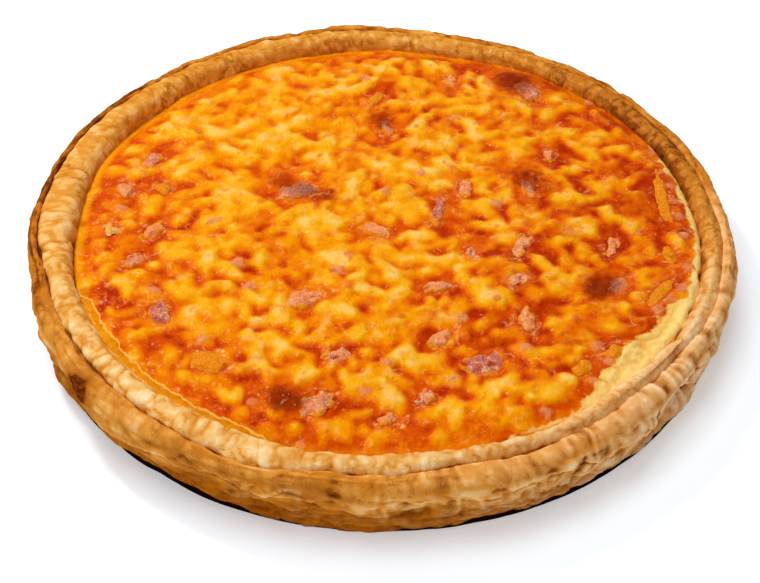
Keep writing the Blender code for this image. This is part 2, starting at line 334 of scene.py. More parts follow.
# Where the seam between lip and wall runs: place round the tart and radius in mm
SEAM_ROUND = (
    (167, 132.2), (178, 132.2), (-172, 131.4), (-160, 129.4), (-148, 128.9), (-137, 126.8),
    (-128, 128.0), (-116, 130.0), (-108, 131.0), (-96, 129.0), (-88, 128.4), (-78, 125.9),
    (-70, 126.2), (-62, 126.8), (-56, 126.9), (-50, 127.2), (-45, 126.8), (-41, 127.2),
    (-34, 128.4), (-28, 130.8), (-12, 130.6), (4, 130.2), (40, 130.4), (90, 129.6), (140, 131.0),
)
# How far the wall's foot hangs clear of the table: place round the tart and mm
SKIRT_ROUND = (
    (-152, 0.5), (-143, 1.6), (-137, 4.4), (-128, 5.6), (-118, 4.4), (-109, 1.8), (-101, 0.6),
    (-92, 0.5), (-82, 0.7), (-75, 1.7), (-62, 2.5), (-52, 2.7), (-44, 1.9), (-38, 0.6), (0, 0.9),
    (60, 1.2), (120, 0.8), (180, 1.1),
)
# Small hollows of the side: place round the tart, height, half width, half height and depth in mm
HOLLOWS = (
    (-109.8, 18.5, 3.2, 1.2, 1.1), (-98.8, 14.0, 2.2, 1.0, 0.9), (-95.5, 21.5, 2.6, 0.9, 0.8),
    (-85.6, 17.5, 2.6, 1.0, 0.8), (-85.3, 13.0, 3.0, 1.2, 0.7), (-68.1, 8.0, 2.4, 1.0, 0.9),
    (-64.9, 21.5, 3.4, 1.4, 1.0), (-60.0, 21.0, 2.0, 1.2, 0.9), (-73.0, 20.5, 2.8, 1.2, 0.8),
    (-49.6, 21.0, 2.2, 1.5, 1.2), (-44.0, 19.5, 2.2, 1.3, 0.9), (-117.0, 14.5, 3.0, 1.0, 0.8),
    (-125.0, 15.5, 2.6, 1.2, 0.7), (-54.0, 14.0, 2.4, 1.1, 0.7),
)
BURNT_BLISTER = (-139.2, 22.0, 10.5, 5.4, 0.7)
# Parts of the round where the case looks different: place and half width in degrees
FRONT = -90
FRONT_PUFFS = (-122, 48)
FRONT_SIDE = (-108, 52)
FRONT_LEFT = (-138, 34)
FRONT_RIGHT = (-28, 30)
FILLED_SEAM = (-18, 52)
REACHING_LIP = (-46, 11)
DRAPED_SIDE = (-43, 40)
CALM_FLANGE = (-60, 55)
PLAIN_FOOT = (-45, 34)
WRINKLED_BACK = (90, 75)
LEFT_EDGE = (-176, 48)
RIGHT = (-5, 50)
RIGHT_SIDE = (-34, 34)
RIGHT_LIP = (20, 34)
RIGHT_INNER_LIP = (8, 40)
MAUVE_RIGHT = (-14, 26)
BEIGE_RIGHT = (-32, 42)
LONG_EDGES = (20.5, 16.5, 12.0, 8.0, 4.6)  # mean heights in mm
BRINK_RADIUS = 119.9 * MM  # where custard and lip meet
# How far the case's baked surface stands out, or sinks in
SEAM_DEPTH = 0.45 * MM
SEAM_FILL = 0.7 * MM
CROSS_WRINKLES = 0.28 * MM
COVERED_DROP = 1.1 * MM
LIP_REACH = 1.7 * MM
BACK_WRINKLES = 0.42 * MM
ROLLED_EDGE = 0.22 * MM
CRUMPLE = 0.30 * MM
CURLED_EDGE = 0.65 * MM
PIT_DEPTH = 0.40 * MM
SKIN_HEIGHT = 8.5 * MM  # of one flaky skin of the wall
BLISTER_HEIGHT = 3.8 * MM  # of one small blister of the wall


def rim_lift(angle):
    return -RIM_TILT * np.cos(angle) + RIM_WAVE * ring_wave(angle, 3, (3, 5, 8, 13))


def inner_shift(angle):
    return INNER_SHIFT * np.cos(angle) + INNER_WAVE * ring_wave(angle, 4, (3, 4, 7, 11))


def overhang(angle):
    """How far the custard reaches over the pastry, with a torn edge."""
    torn = 1 + 0.45 * ring_wave(angle, 91, (23, 37, 54, 71))
    return round_table(angle, OVERHANG) * torn * MM


def wall_puff(angle, height):
    upper = hump(height, 0.0165, 0.0045) * ring_wave(angle, 8, (9, 14, 17, 23))
    lower = hump(height, 0.0090, 0.0040) * ring_wave(angle, 10, (8, 13, 19, 22))
    flange = hump(height, 0.0240, 0.0025) * ring_wave(angle, 12, (11, 16, 21))
    return PUFF_HEIGHT * (upper + lower) + FLANGE_WAVE * flange


def around(angle, up, stretch=1.0):
    """Points on a cylinder to read noise at, with its grain drawn out round the tart by stretch."""
    reach = TART_RADIUS / stretch
    return np.stack((reach * np.cos(angle), reach * np.sin(angle), up), axis=-1)


def crust_rows():
    """The section's points, how far each lies along the surface, and what each belongs to."""
    floor = np.array(FLOOR_LINE)
    lip = smooth_line(LIP_LINE, LIP_ROWS)
    wall = smooth_line(WALL_LINE, WALL_ROWS)
    foot = np.array(FOOT_LINE)
    section = np.concatenate((floor, lip, wall, foot)) * MM
    travel = np.concatenate(([0.0], np.cumsum(np.hypot(*np.diff(section, axis=0).T))))
    counts = (len(floor), LIP_ROWS, WALL_ROWS, len(foot))
    kinds = np.repeat(("floor", "lip", "wall", "foot"), counts)
    return section, travel, kinds


def crust_base(section, kinds, angle):
    """The case's plain surface: the turned section with the unevenness that the solid has too."""
    radius = np.repeat(section[:, :1], angle.shape[1], axis=1)
    height = np.repeat(section[:, 1:], angle.shape[1], axis=1)
    wall = (kinds == "wall")[:, None]
    foot = (kinds == "foot")[:, None]
    outside = ease(FILLING_RADIUS + 0.004, TART_RADIUS - 0.007, radius)
    grow = outside * ease(0.0015, 0.010, height) * OUTER_WAVE * ring_wave(angle, 7, (2, 3, 5, 6))
    grow += outside * np.where(foot, 0.0, wall_puff(angle, height))
    grow += (1 - outside) * ease(0.0, FLOOR_THICKNESS, height) * inner_shift(angle)
    seam = round_table(angle, SEAM_ROUND) * MM
    share = np.where(
        radius < SEAM_RADIUS,
        (radius - FILLING_RADIUS) / (SEAM_RADIUS - FILLING_RADIUS),
        (TART_RADIUS - radius) / (TART_RADIUS - SEAM_RADIUS),
    )
    top = ease(0.0205, 0.0235, height)
    grow += top * np.clip(share, 0, 1) * (seam - SEAM_RADIUS)
    lift = rim_lift(angle) * ease(TART_HEIGHT - 0.010, TART_HEIGHT - 0.004, height)
    ragged = Grain(31).layers(around(angle, 0 * angle), 0.006, 2)
    skirt = np.maximum(round_table(angle, SKIRT_ROUND) + 0.7 * ragged, 0.25) * MM
    above_foot = (height - SKIRT_FOOT) / (SKIRT_TOP - SKIRT_FOOT)
    sagging = wall & (height < SKIRT_TOP)
    height = np.where(sagging, skirt + above_foot * (SKIRT_TOP - skirt), height)
    under = foot & (height > 0)
    height = np.where(under, height / FOOT_TOP * (skirt - 0.1 * MM), height)
    radius = radius + grow
    return np.stack((radius * np.cos(angle), radius * np.sin(angle), height + lift), axis=-1)


class CaseSurface:
    """The baked surface of the case: how far it stands out of the plain one, and what colours it."""

    def __init__(self, angle, up, points, kinds, seam_travel):
        self.angle = angle
        self.up = up
        self.radius = np.hypot(points[..., 0], points[..., 1])
        self.height = points[..., 2]
        self.seam_travel = seam_travel
        self.lip = (kinds == "lip")[:, None] * ease(0.019, 0.022, self.height)
        self.wall = (kinds == "wall")[:, None] * np.ones_like(angle)
        self.flange = self.wall * ease(0.0225, 0.0245, self.height)
        self.side = self.wall * (1 - ease(0.0215, 0.0240, self.height))
        self.draped = about(angle, DRAPED_SIDE)
        self.grain = Grain(21)
        self.other = Grain(22)
        self.here = around(angle, up)
        swell = 0.50 * self.other.at(self.here, 0.016) * MM
        self.relief = swell + 0.45 * self.grain.at(self.here, 0.0080) * MM
        lip_line, lip_highlight = self.puff_lip()
        rolled_edge, under_edge = self.lay_sheets()
        wander, small_wander = self.wanders()
        patch, skin_line, small_line = self.flake_side(wander, small_wander)
        edge_highlight, edge_shade = self.curl_edges(small_wander)
        hollow = self.sink_hollows(wander, small_wander)
        blister = self.raise_blister(small_wander)
        # line: painted shade in the lip's creases, blister borders and seam, along the custard's edge and
        # under curled and rolled edges, with browned borders of the side's skins and blisters. pale:
        # painted highlight on the lip's blister tops and on curled and rolled edges.
        line = lip_line + 0.75 * skin_line + 0.6 * small_line + 0.8 * edge_shade + 0.8 * under_edge
        self.marks = {
            "line": np.clip(line, 0, 1),
            "pale": np.clip(0.70 * lip_highlight + 0.8 * edge_highlight + 0.9 * rolled_edge, 0, 1),
            "patch": patch,
            "hollow": np.clip(hollow, 0, 1),
            "burnt": self.wall * blister,
            "lip": self.lip,
            "side": self.side,
            "flange": self.flange,
        }

    def puff_lip(self):
        """Soft creases across the rolled lip, and blisters on its front, with painted shade in the creases
        and blister borders and painted highlight on the blister tops.
        """
        angle, up, here, lip = self.angle, self.up, self.here, self.lip
        crossing = self.grain.layers(around(angle, up * 0.4), 0.0050, 2)
        crease = ease(-0.3, 0.5, self.other.at(here, 0.017)) * hump(crossing, 0, 0.09)
        front = 0.35 + 0.65 * about(angle, FRONT_PUFFS)
        across_puffs = self.grain.layers(here + 0.002, 0.0086, 2)
        puffs = 0.75 * np.abs(across_puffs) ** 0.7
        small_puffs = np.abs(self.other.layers(here, 0.0036, 2))
        broken = ease(-0.25, 0.35, self.other.layers(here, 0.0075, 2))
        border = hump(across_puffs, 0, 0.05) * broken
        puffed = (0.30 + 1.30 * front) * puffs + 0.30 * small_puffs - 0.24 * crease - 0.42
        self.relief += lip * MM * puffed
        self.relief -= SEAM_DEPTH * hump(up, self.seam_travel, 0.6 * MM)
        filled = about(angle, FILLED_SEAM)
        self.relief += SEAM_FILL * filled * hump(up, self.seam_travel, 1.5 * MM)
        cross_wrinkles = self.grain.layers(around(angle, up * 0.5 + 0.01), 0.0030, 2)
        self.relief += CROSS_WRINKLES * (lip + 0.7 * self.flange) * filled * cross_wrinkles
        # Darker in the creases and the borders between blisters: painted shade.
        line = lip * (0.50 * crease * (1.15 - front) + 0.50 * front * border)
        # Darker along the seam between lip and wall: painted shade in the groove.
        near_seam = hump(up, self.seam_travel, 0.30 * MM)
        line += 1.2 * hump(up, self.seam_travel, 0.7 * MM) + 0.7 * (lip + self.wall) * near_seam
        # Paler on the blister tops: painted highlight.
        pale = lip * front * ease(0.20, 0.60, puffs + 0.3 * small_puffs)

        # Lower where the custard swells over it, and reaching inward at one place
        covered = lip * ease(0.3, 2.0, round_table(angle, OVERHANG))
        self.relief -= COVERED_DROP * covered * (1 - ease(0.1205, 0.1280, self.radius))
        inner = 1 - ease(0.1215, 0.1255, self.radius)
        upper = ease(0.0215, 0.0250, self.height)
        self.relief += LIP_REACH * lip * about(angle, REACHING_LIP) * inner * upper
        # Darker on the lip where the custard swells over it: painted shadow at the custard's edge.
        brink = BRINK_RADIUS + inner_shift(angle) + overhang(angle)
        return line + 0.7 * covered * hump(self.radius, brink, 0.9 * MM), pale

    def lay_sheets(self):
        """Thin sheets of the flange, drawn out round the tart, and the rolled edge below the seam, with
        painted highlight on its top and painted shade below it.
        """
        angle, up, here = self.angle, self.up, self.here
        sheets = self.grain.layers(around(angle, up, 7.0), 0.0013, 2) * (1 - 0.7 * self.draped)
        self.relief += self.flange * MM * (0.20 * sheets + 0.35 * self.other.layers(here, 0.006, 3))
        wrinkled = (self.lip + self.flange) * about(angle, WRINKLED_BACK)
        self.relief += BACK_WRINKLES * wrinkled * self.other.layers(here + 0.007, 0.0042, 2)
        rolled = (3.4 + 0.5 * ring_wave(angle, 61, (9, 14, 22, 31))) * MM
        shown = self.wall * ease(-0.5, 0.3, ring_wave(angle, 60, (5, 8, 13)))
        shown = shown * (0.6 - 0.4 * about(angle, CALM_FLANGE))
        # Pale along the roll's top and dark beneath it: painted highlight and painted shade.
        rolled_edge = shown * hump(up, self.seam_travel + rolled, 0.40 * MM)
        under_edge = shown * hump(up, self.seam_travel + rolled + 0.9 * MM, 0.45 * MM)
        self.relief += ROLLED_EDGE * (rolled_edge - under_edge)
        return rolled_edge, under_edge

    def wanders(self):
        """How far the borders of the skins and of the small blisters stray."""
        wander = 0.5 * self.other.layers(around(self.angle, self.up, 1.6), 0.011, 3)
        return wander, 0.5 * self.grain.layers(around(self.angle, self.up, 1.5), 0.0055, 3)

    def flake_side(self, wander, small_wander):
        """Overlapping skins of the side, each with its own tone, finer blisters and hanging folds with
        painted shade in their valleys and painted highlight on their crests.
        """
        angle, up, side, draped = self.angle, self.up, self.side, self.draped
        skin_inside, skin_tone = Cells(24, 53).at(angle, up / SKIN_HEIGHT + wander, wander)
        small_up = up / BLISTER_HEIGHT + small_wander
        small_inside, small_tone = Cells(25, 131).at(angle, small_up, small_wander)
        streaks = self.grain.layers(around(angle, up + 2 * MM * wander, 5.0), 0.0022, 3)
        crisp = ease(-0.3, 0.3, self.grain.at(self.here, 0.020))
        hanging_side = draped * ease(0.0045, 0.0110, self.height)
        hanging = around(angle + 0.03 * wander, up * 0.38, 0.8)
        folds = 1 - 2.4 * np.abs(self.grain.layers(hanging, 0.0080, 2))
        lying = around(angle, up * 1.5 + 3 * MM * small_wander, 2.2)
        crumple = 1 - 2.4 * np.abs(self.other.layers(lying, 0.0070, 2))
        self.relief += MM * (0.85 * side + 0.60 * self.flange) * hanging_side * folds
        self.relief += CRUMPLE * side * (1 - draped) * crumple
        plates = side + 0.7 * self.flange * (1 - draped)
        raised = 0.60 * ease(0.0, 0.60, skin_inside) + 0.42 * skin_tone
        self.relief += plates * MM * raised
        fine = 0.27 * crisp * ease(0.0, 0.6, small_inside) + 0.12 * streaks
        self.relief += side * MM * fine
        patch = plates * (0.90 * skin_tone + 0.45 * small_tone * crisp)
        # Darker in the valleys of the hanging folds and paler on their crests: painted shade and painted
        # highlight.
        patch -= (side + 0.7 * self.flange) * hanging_side * 1.8 * (folds - 0.42)
        skin_line = plates * hump(skin_inside, 0, 0.045) * ease(-0.2, 0.4, streaks)
        small_line = side * crisp * hump(small_inside, 0, 0.06) * ease(0.0, 0.5, small_wander)
        return patch, skin_line, small_line

    def curl_edges(self, small_wander):
        """Long curled edges of the layers, with painted highlight on top and painted shade below."""
        edge_highlight = np.zeros_like(self.angle)
        edge_shade = np.zeros_like(self.angle)
        for order, level in enumerate(LONG_EDGES):
            line = (level + 2.2 * ring_wave(self.angle, 40 + order, (7, 11, 18, 29, 41))) * MM
            shown = self.side * ease(-0.1, 0.5, ring_wave(self.angle, 50 + order, (6, 9, 15)))
            over = self.height - line - 0.6 * MM * small_wander
            edge = ease(-0.25 * MM, 0.25 * MM, over) * np.exp(-np.abs(over) / (3.0 * MM))
            self.relief += CURLED_EDGE * shown * edge
            # Pale above each curled edge and dark below it: painted highlight and painted shade.
            edge_highlight += shown * hump(over, 0.5 * MM, 0.45 * MM)
            edge_shade += shown * hump(over, -0.40 * MM, 0.40 * MM)
        return edge_highlight, edge_shade

    def across(self, place, half_width):
        """Distance round the tart from a place, in half widths given in mm."""
        return turned(self.angle, place) * math.pi / 180 * TART_RADIUS / (half_width * MM)

    def sink_hollows(self, wander, small_wander):
        # Hollows and pits sink the surface; the hollow mark returned here darkens the colour with painted
        # shade.
        hollow = np.zeros_like(self.angle)
        for place, level, half_width, half_height, depth in HOLLOWS:
            across = self.across(place, half_width) + 0.8 * small_wander
            rise = (self.height - level * MM) / (half_height * MM) + 1.2 * wander
            dent = self.side * np.exp(-(across**2) - rise**2)
            hollow += dent
            self.relief -= 0.75 * depth * MM * dent
        pits = ease(0.45, 0.80, self.other.layers(around(self.angle, self.up, 1.8), 0.0036, 2))
        pits = pits * (self.side + 0.5 * self.flange)
        self.relief -= PIT_DEPTH * pits
        return hollow + 0.45 * pits

    def raise_blister(self, small_wander):
        place, level, half_width, half_height, rise = BURNT_BLISTER
        up = (self.height - level * MM) / (half_height * MM)
        reach = self.across(place, half_width) ** 2 + up**2 + 0.5 * small_wander
        blister = ease(-0.1, 1.0, 1 - reach)
        self.relief += self.wall * rise * MM * (blister - 0.8 * hump(blister, 1.0, 0.25))
        return blister


def crust_browning_and_shade(points, relief, kinds, marks):
    """How brown each place is, from 0 for cream to 1 for dark, with painted shade in hollows, grooves and
    creases, painted highlight on rises and painted shadow on the foot, how dark low down, how beige.
    """
    angle = np.arctan2(points[..., 1], points[..., 0])
    height = points[..., 2]
    lip = marks["lip"]
    side = marks["side"]
    flange = marks["flange"]
    grain = Grain(61)
    right = about(angle, RIGHT)
    left_edge = about(angle, LEFT_EDGE)
    front_right = about(angle, FRONT_RIGHT)
    front_side = about(angle, FRONT_SIDE)
    right_lip = about(angle, RIGHT_LIP)
    back = ease(60, 150, np.abs(turned(angle, FRONT)))
    # Darker where the surface lies below its neighbours and paler where it stands above them: painted
    # shade and painted highlight.
    broad = (relief - soften(relief, 14, closed=True)) / (0.35 * MM)
    close = (relief - soften(relief, 3, closed=True)) / (0.12 * MM)
    brown_and_shade = 0.40 + 0.10 * grain.layers(points, 0.028, 2) + 0.10 * grain.layers(points, 0.006, 3)
    brown_and_shade -= (0.15 - 0.04 * lip) * np.clip(broad, -1.5, 1.5)
    brown_and_shade -= 0.03 * np.clip(close, -1.5, 1.5)
    brown_and_shade += flange * (0.08 + 0.28 * left_edge + 0.14 * back - 0.06 * right - 0.12 * front_right)
    mauve = about(angle, MAUVE_RIGHT) * ease(-0.1, 0.5, grain.layers(points, 0.009, 2))
    brown_and_shade += 0.12 * mauve * (flange + 0.6 * side)
    brown_and_shade += (0.11 * side + 0.05 * flange) * front_side
    brown_and_shade += lip * (-0.08 + 0.13 * back + 0.28 * right_lip - 0.12 * front_right)
    brown_and_shade += side * (0.17 + 0.15 * left_edge - 0.26 * about(angle, RIGHT_SIDE))
    flecks = ease(0.0, 0.5, grain.layers(points + 0.03, 0.011, 2))
    brown_and_shade -= 0.20 * side * hump(height, 0.0175, 0.0045) * flecks * front_side
    inner = lip * (1 - ease(0.1215, 0.1245, np.hypot(points[..., 0], points[..., 1])))
    brown_and_shade += 0.22 * inner * about(angle, RIGHT_INNER_LIP)
    # The line mark darkens with painted shade and browned borders, the hollow mark with painted shade, and
    # the pale mark lightens with painted highlight.
    brown_and_shade += 0.16 * marks["patch"] + 0.30 * marks["line"] + 0.20 * marks["hollow"]
    brown_and_shade -= 0.18 * marks["pale"]
    # Darker low down on the side.
    low_top = 0.0110 + 0.0030 * front_side + 0.004 * grain.layers(points + 0.05, 0.010, 2)
    low = side * (1 - ease(-0.0040, 0.0040, height - low_top))
    low = low * (1 - 0.5 * about(angle, PLAIN_FOOT)) * (1 - 0.7 * right)
    front_left = (side + flange) * about(angle, FRONT_LEFT)
    brown_and_shade -= front_left * (0.02 + 0.60 * np.maximum(brown_and_shade - 0.48, 0))
    brown_and_shade -= 0.16 * front_left * ease(0.0, 0.45, grain.layers(points + 0.07, 0.010, 2))
    # Darker along the lowest edge of the side: painted shade where the case meets the table.
    brown_and_shade += 0.25 * side * (1 - ease(0.0, 0.0012, height - height[kinds == "wall"][-1]))
    # The foot is set darkest: painted shadow under the case where it meets the table.
    brown_and_shade = np.where((kinds == "foot")[:, None], 1.0, brown_and_shade)
    outer = side + flange + 0.7 * lip
    beige = outer * np.clip(0.05 + 0.75 * about(angle, BEIGE_RIGHT), 0, 1)
    beige *= 1 - 0.8 * right_lip * lip
    beige += 0.12 * front_left * ease(0.0080, 0.0160, height)
    pale = ease(0.0, 0.5, grain.layers(points, 0.016, 2))
    beige += 0.4 * side * pale * (1 - 0.85 * front_side)
    return np.clip(brown_and_shade, 0, 1), low, np.clip(beige, 0, 1)


def make_crust():
    section, travel, kinds = crust_rows()
    turns = np.linspace(-math.pi, math.pi, CRUST_TURNS, endpoint=False)
    angle = np.repeat(turns[None, :], len(section), axis=0)
    up = np.repeat(travel[:, None], CRUST_TURNS, axis=1)
    points = crust_base(section, kinds, angle)
    surface = CaseSurface(angle, up, points, kinds, travel[kinds == "lip"][-1])
    points = points + shell_normals(points) * surface.relief[..., None]
    points[..., 2] = np.maximum(points[..., 2], 0.0)
    brown_and_shade, low, beige = crust_browning_and_shade(points, surface.relief, kinds, surface.marks)
    # The foot mark carries the painted shadow under the case.
    foot = np.repeat((kinds == "foot")[:, None], CRUST_TURNS, axis=1).astype(float)
    shown = {"brown_and_shade": brown_and_shade, "low": low, "beige": beige, "foot": foot}
    shown.update({name: surface.marks[name] for name in ("burnt", "lip", "side")})
    vertices = np.concatenate((points.reshape(-1, 3), [[0, 0, FLOOR_THICKNESS]], [[0, 0, 0]]))
    padded = {name: np.concatenate((values.ravel(), [0, 1])) for name, values in shown.items()}
    return build_mesh("crust_baked", vertices, closed_faces(len(section), CRUST_TURNS), padded)


# The custard and the cheese melted into it

CUSTARD_GRID = 307
SHRED_LIFT = 1.10
BILLOW = 0.40 * MM
RIPPLE = 0.16 * MM
SHRED_STRAY = 1.6 * MM
RAGGED_SKIN_END = 2.2 * MM
STRIP_EDGE = 0.45 * MM
STRIP_DROP = 0.7 * MM
SPOT_SWELL = 0.5 * MM
HAM_POCKET = 0.9 * MM
SHOULDER_END = 119.3 * MM
MEAN_THICKNESS = 0.56
GLAZE_LEVEL = 0.525
GLAZE_CONTRAST = 1.16
# Where the top skin ends short of the pastry: place round the tart and radius in mm
SKIN_END = (
    (60, 126), (32, 125), (24, 121.4), (16, 119.4), (5, 118.8), (-5, 119.2), (-14, 120.0),
    (-20, 119.6), (-22, 117.8), (-25, 115.0), (-30, 113.6), (-34, 111.0), (-38, 110.2),
    (-45, 112.2), (-50, 114.8), (-54, 117.0), (-60, 118.8), (-68, 120.0), (-76, 122), (180, 124),
)
# How far the custard swells over the pastry: place round the tart and mm
OVERHANG = (
    (6, 0.0), (-5, 0.7), (-12, 1.9), (-18, 3.0), (-25, 3.2), (-29, 2.8), (-33, 0.6), (-37, 0.0),
    (-60, 0.0),
)
# Parts of the round where the custard looks different: place and half width in degrees
PALE_SHOULDER = (-24, 32)
SETTLED_SHOULDER = (-47, 12)
AMBER_STRIP = (-134, 30)
GLAZED_BACK = (90, 62)
# Browned spots: place and reach in mm, and how dark
BROWN_SPOTS = (
    (63, 95, 7, 0.6), (53, 93, 9, 1.1), (58, 84, 8, 0.5), (-22, 12, 6, 0.9), (-40, 24, 7, 0.8),
    (-31, 17, 8, 0.7), (-30, -97, 8, 1.0), (-36, -93, 8, 0.6), (80, -39, 8, 1.3), (86, -31, 6, 0.6),
    (57, 27, 8, 0.8), (63, 20, 7, 0.6), (46, 30, 8, 0.4), (100, 7, 7, 0.7), (1, 61, 7, 0.7),
    (-2, 68, 7, 0.5), (24, 7, 5, 0.5), (-13, -39, 4, 0.5), (68, -6, 6, 0.6), (73, -58, 6, 0.6),
    (110, 50, 7, 0.5), (40, -14, 5, 0.6), (56, 0, 6, 0.4), (46, -30, 6, 0.5), (93, -60, 5, 0.5),
    (66, -66, 6, 0.5), (30, 30, 5, 0.4), (20, -52, 5, 0.4), (45, 62, 7, 0.5), (84, 60, 7, 0.5),
    (30, 88, 7, 0.5), (92, 30, 8, 0.5),
)
# Redder regions of the glaze: place and reach in mm, and how much redder
RED_REGIONS = (
    (75, 5, 42, 0.50), (60, -60, 40, 0.24), (58, 88, 22, 0.5), (-92, -10, 22, 0.15),
    (-40, -92, 24, 0.20), (0, -96, 22, 0.15), (105, 20, 20, 0.35), (-88, -55, 18, 0.10),
    (28, 2, 18, 0.15), (20, 84, 26, 0.32),
)
# Where the glaze lies smooth over sunken shreds: place and reach in mm, and how far they sink
SMOOTH_REGIONS = (
    (-98, -14, 16, 0.9), (-84, -66, 20, 0.7), (-20, -104, 20, 0.5), (75, 52, 22, 0.5),
    (90, -8, 18, 0.3), (-60, 82, 22, 0.4),
)
# Where the cheese is palest: place and reach in mm, and how much less red
BRIGHT_REGIONS = (
    (-50, 60, 36, 0.42), (-30, 78, 26, 0.2), (-20, -10, 26, 0.35), (-58, 5, 20, 0.3),
    (20, 40, 22, 0.25), (-10, 25, 20, 0.3),
)


def custard_level(x, y):
    """Height of the bare custard over points of the plane, as the solid has it."""
    radius = np.hypot(x, y)
    edge = FILLING_RADIUS + inner_shift(np.arctan2(y, x))
    level = CUSTARD_HEIGHT + CUSTARD_TILT * x / TART_RADIUS
    level = level + CUSTARD_SWELL * plane_wave(x, y, 6, CUSTARD_WAVELENGTH)
    return level - EDGE_DROP * ease(edge - EDGE_WIDTH, edge, radius)


def ham_clearance(x, y):
    """Distance from a point of the plane to the nearest piece of ham or onion."""
    nearest = TART_RADIUS
    for row in HAM + (ONION,):
        along, across = along_across(x - row[0] * MM, y - row[1] * MM, math.radians(row[4]))
        past = (max(abs(along) - row[2] * MM / 2, 0), max(abs(across) - row[3] * MM / 2, 0))
        nearest = min(nearest, math.hypot(*past))
    return nearest


def shred_rows():
    """(x, y, length, turn) of every shred, the longest first, each put where it is least crowded."""
    draw = np.random.default_rng(SHRED_SEED)
    rows = []
    for index in range(SHRED_COUNT):
        length = SHRED_LONGEST + (SHRED_SHORTEST - SHRED_LONGEST) * index / (SHRED_COUNT - 1)
        reach = FILLING_RADIUS - EDGE_WIDTH - length / 2
        radii = reach * np.sqrt(draw.uniform(0, 1, SHRED_TRIES))
        angles = draw.uniform(0, math.tau, SHRED_TRIES)
        turn = draw.uniform(0, math.pi)
        best = None
        for x, y in zip(radii * np.cos(angles), radii * np.sin(angles)):
            if ham_clearance(x, y) < length / 2 + GAP:
                continue
            room = min((math.hypot(x - row[0], y - row[1]) for row in rows), default=reach)
            if best is None or room > best[0]:
                best = (room, x, y)
        if best is not None:
            rows.append((best[1], best[2], length, turn))
    return rows


def disc_grid(count):
    """A square grid of points pressed into a disc of radius 1, as (radius, angle)."""
    line = np.linspace(-1, 1, count)
    across, up = np.meshgrid(line, line, indexing="ij")
    wide = np.abs(across) >= np.abs(up)
    large = np.where(wide, across, up)
    small = np.where(wide, up, across)
    turn = math.pi / 4 * small / np.where(large == 0, 1, large)
    turn = np.where(wide, turn, math.pi / 2 - turn)
    x = large * np.cos(turn)
    y = large * np.sin(turn)
    return np.hypot(x, y), np.arctan2(y, x)


def melt_shreds(x, y, sunk):
    """How far the melted cheese lifts the custard, and how pale it is there, over the plane."""
    draw = np.random.default_rng(71)
    rows = []
    for index, (shred_x, shred_y, length, turn) in enumerate(shred_rows()):
        half_width = draw.uniform(2.0, 2.9) * MM + 0.09 * length
        rise = draw.uniform(0.75, 1.25) * MM if index < FUSED_SHREDS else draw.uniform(0.05, 1.10) * MM
        rows.append((shred_x, shred_y, 0.55 * length, half_width, turn, rise))
    for _ in range(LUMP_COUNT):
        reach = FILLING_RADIUS * 0.97 * math.sqrt(draw.uniform(0, 1))
        heading = draw.uniform(0, math.tau)
        half_length = draw.uniform(3.0, 7.0) * MM
        half_width = half_length * draw.uniform(0.55, 0.95)
        place = (reach * math.cos(heading), reach * math.sin(heading))
        turn = draw.uniform(0, math.tau)
        rows.append((*place, half_length, half_width, turn, draw.uniform(0.1, 0.8) * MM))
    weight = np.full(x.shape, math.exp(-0.2 * MM / MELT))
    tones = 0.35 * weight
    for row_x, row_y, half_length, half_width, turn, rise in rows:
        tone = draw.uniform(0, 1)
        bow = draw.uniform(-0.7, 0.7)
        slope = draw.uniform(-0.35, 0.35)
        near = np.hypot(x - row_x, y - row_y) < 1.7 * half_length
        along, across = along_across(x[near] - row_x, y[near] - row_y, turn)
        along = along / half_length
        across = across / half_width - bow * (along * along - 0.4)
        body = 1 - np.hypot(along, across) ** 3
        lift = rise * (1 + slope * along) - 1.3 * MM * (1 - body) - 0.6 * MM * sunk[near]
        share = np.exp(np.maximum(lift, -6 * MM) / MELT)
        weight[near] += share
        tones[near] += share * tone
    return MELT * np.log(weight), tones / weight


def spot_field(x, y, spots):
    """The sum of soft round spots over the plane, in rows of (x, y, reach, strength)."""
    total = np.zeros(x.shape)
    for spot_x, spot_y, reach, strength in spots:
        squares = (x - spot_x * MM) ** 2 + (y - spot_y * MM) ** 2
        total += strength * np.exp(-squares / (reach * MM) ** 2)
    return total


def ham_distance(x, y):
    """Roughly how far each place lies outside the nearest piece of ham or onion, negative inside it."""
    nearest = np.full(x.shape, TART_RADIUS)
    for row in HAM + (ONION,):
        along, across = along_across(x - row[0] * MM, y - row[1] * MM, math.radians(row[4]))
        half = (row[2] * MM / 2, row[3] * MM / 2)
        outside = np.hypot(along / half[0], across / half[1]) - 1
        nearest = np.minimum(nearest, outside * min(half))
    return nearest


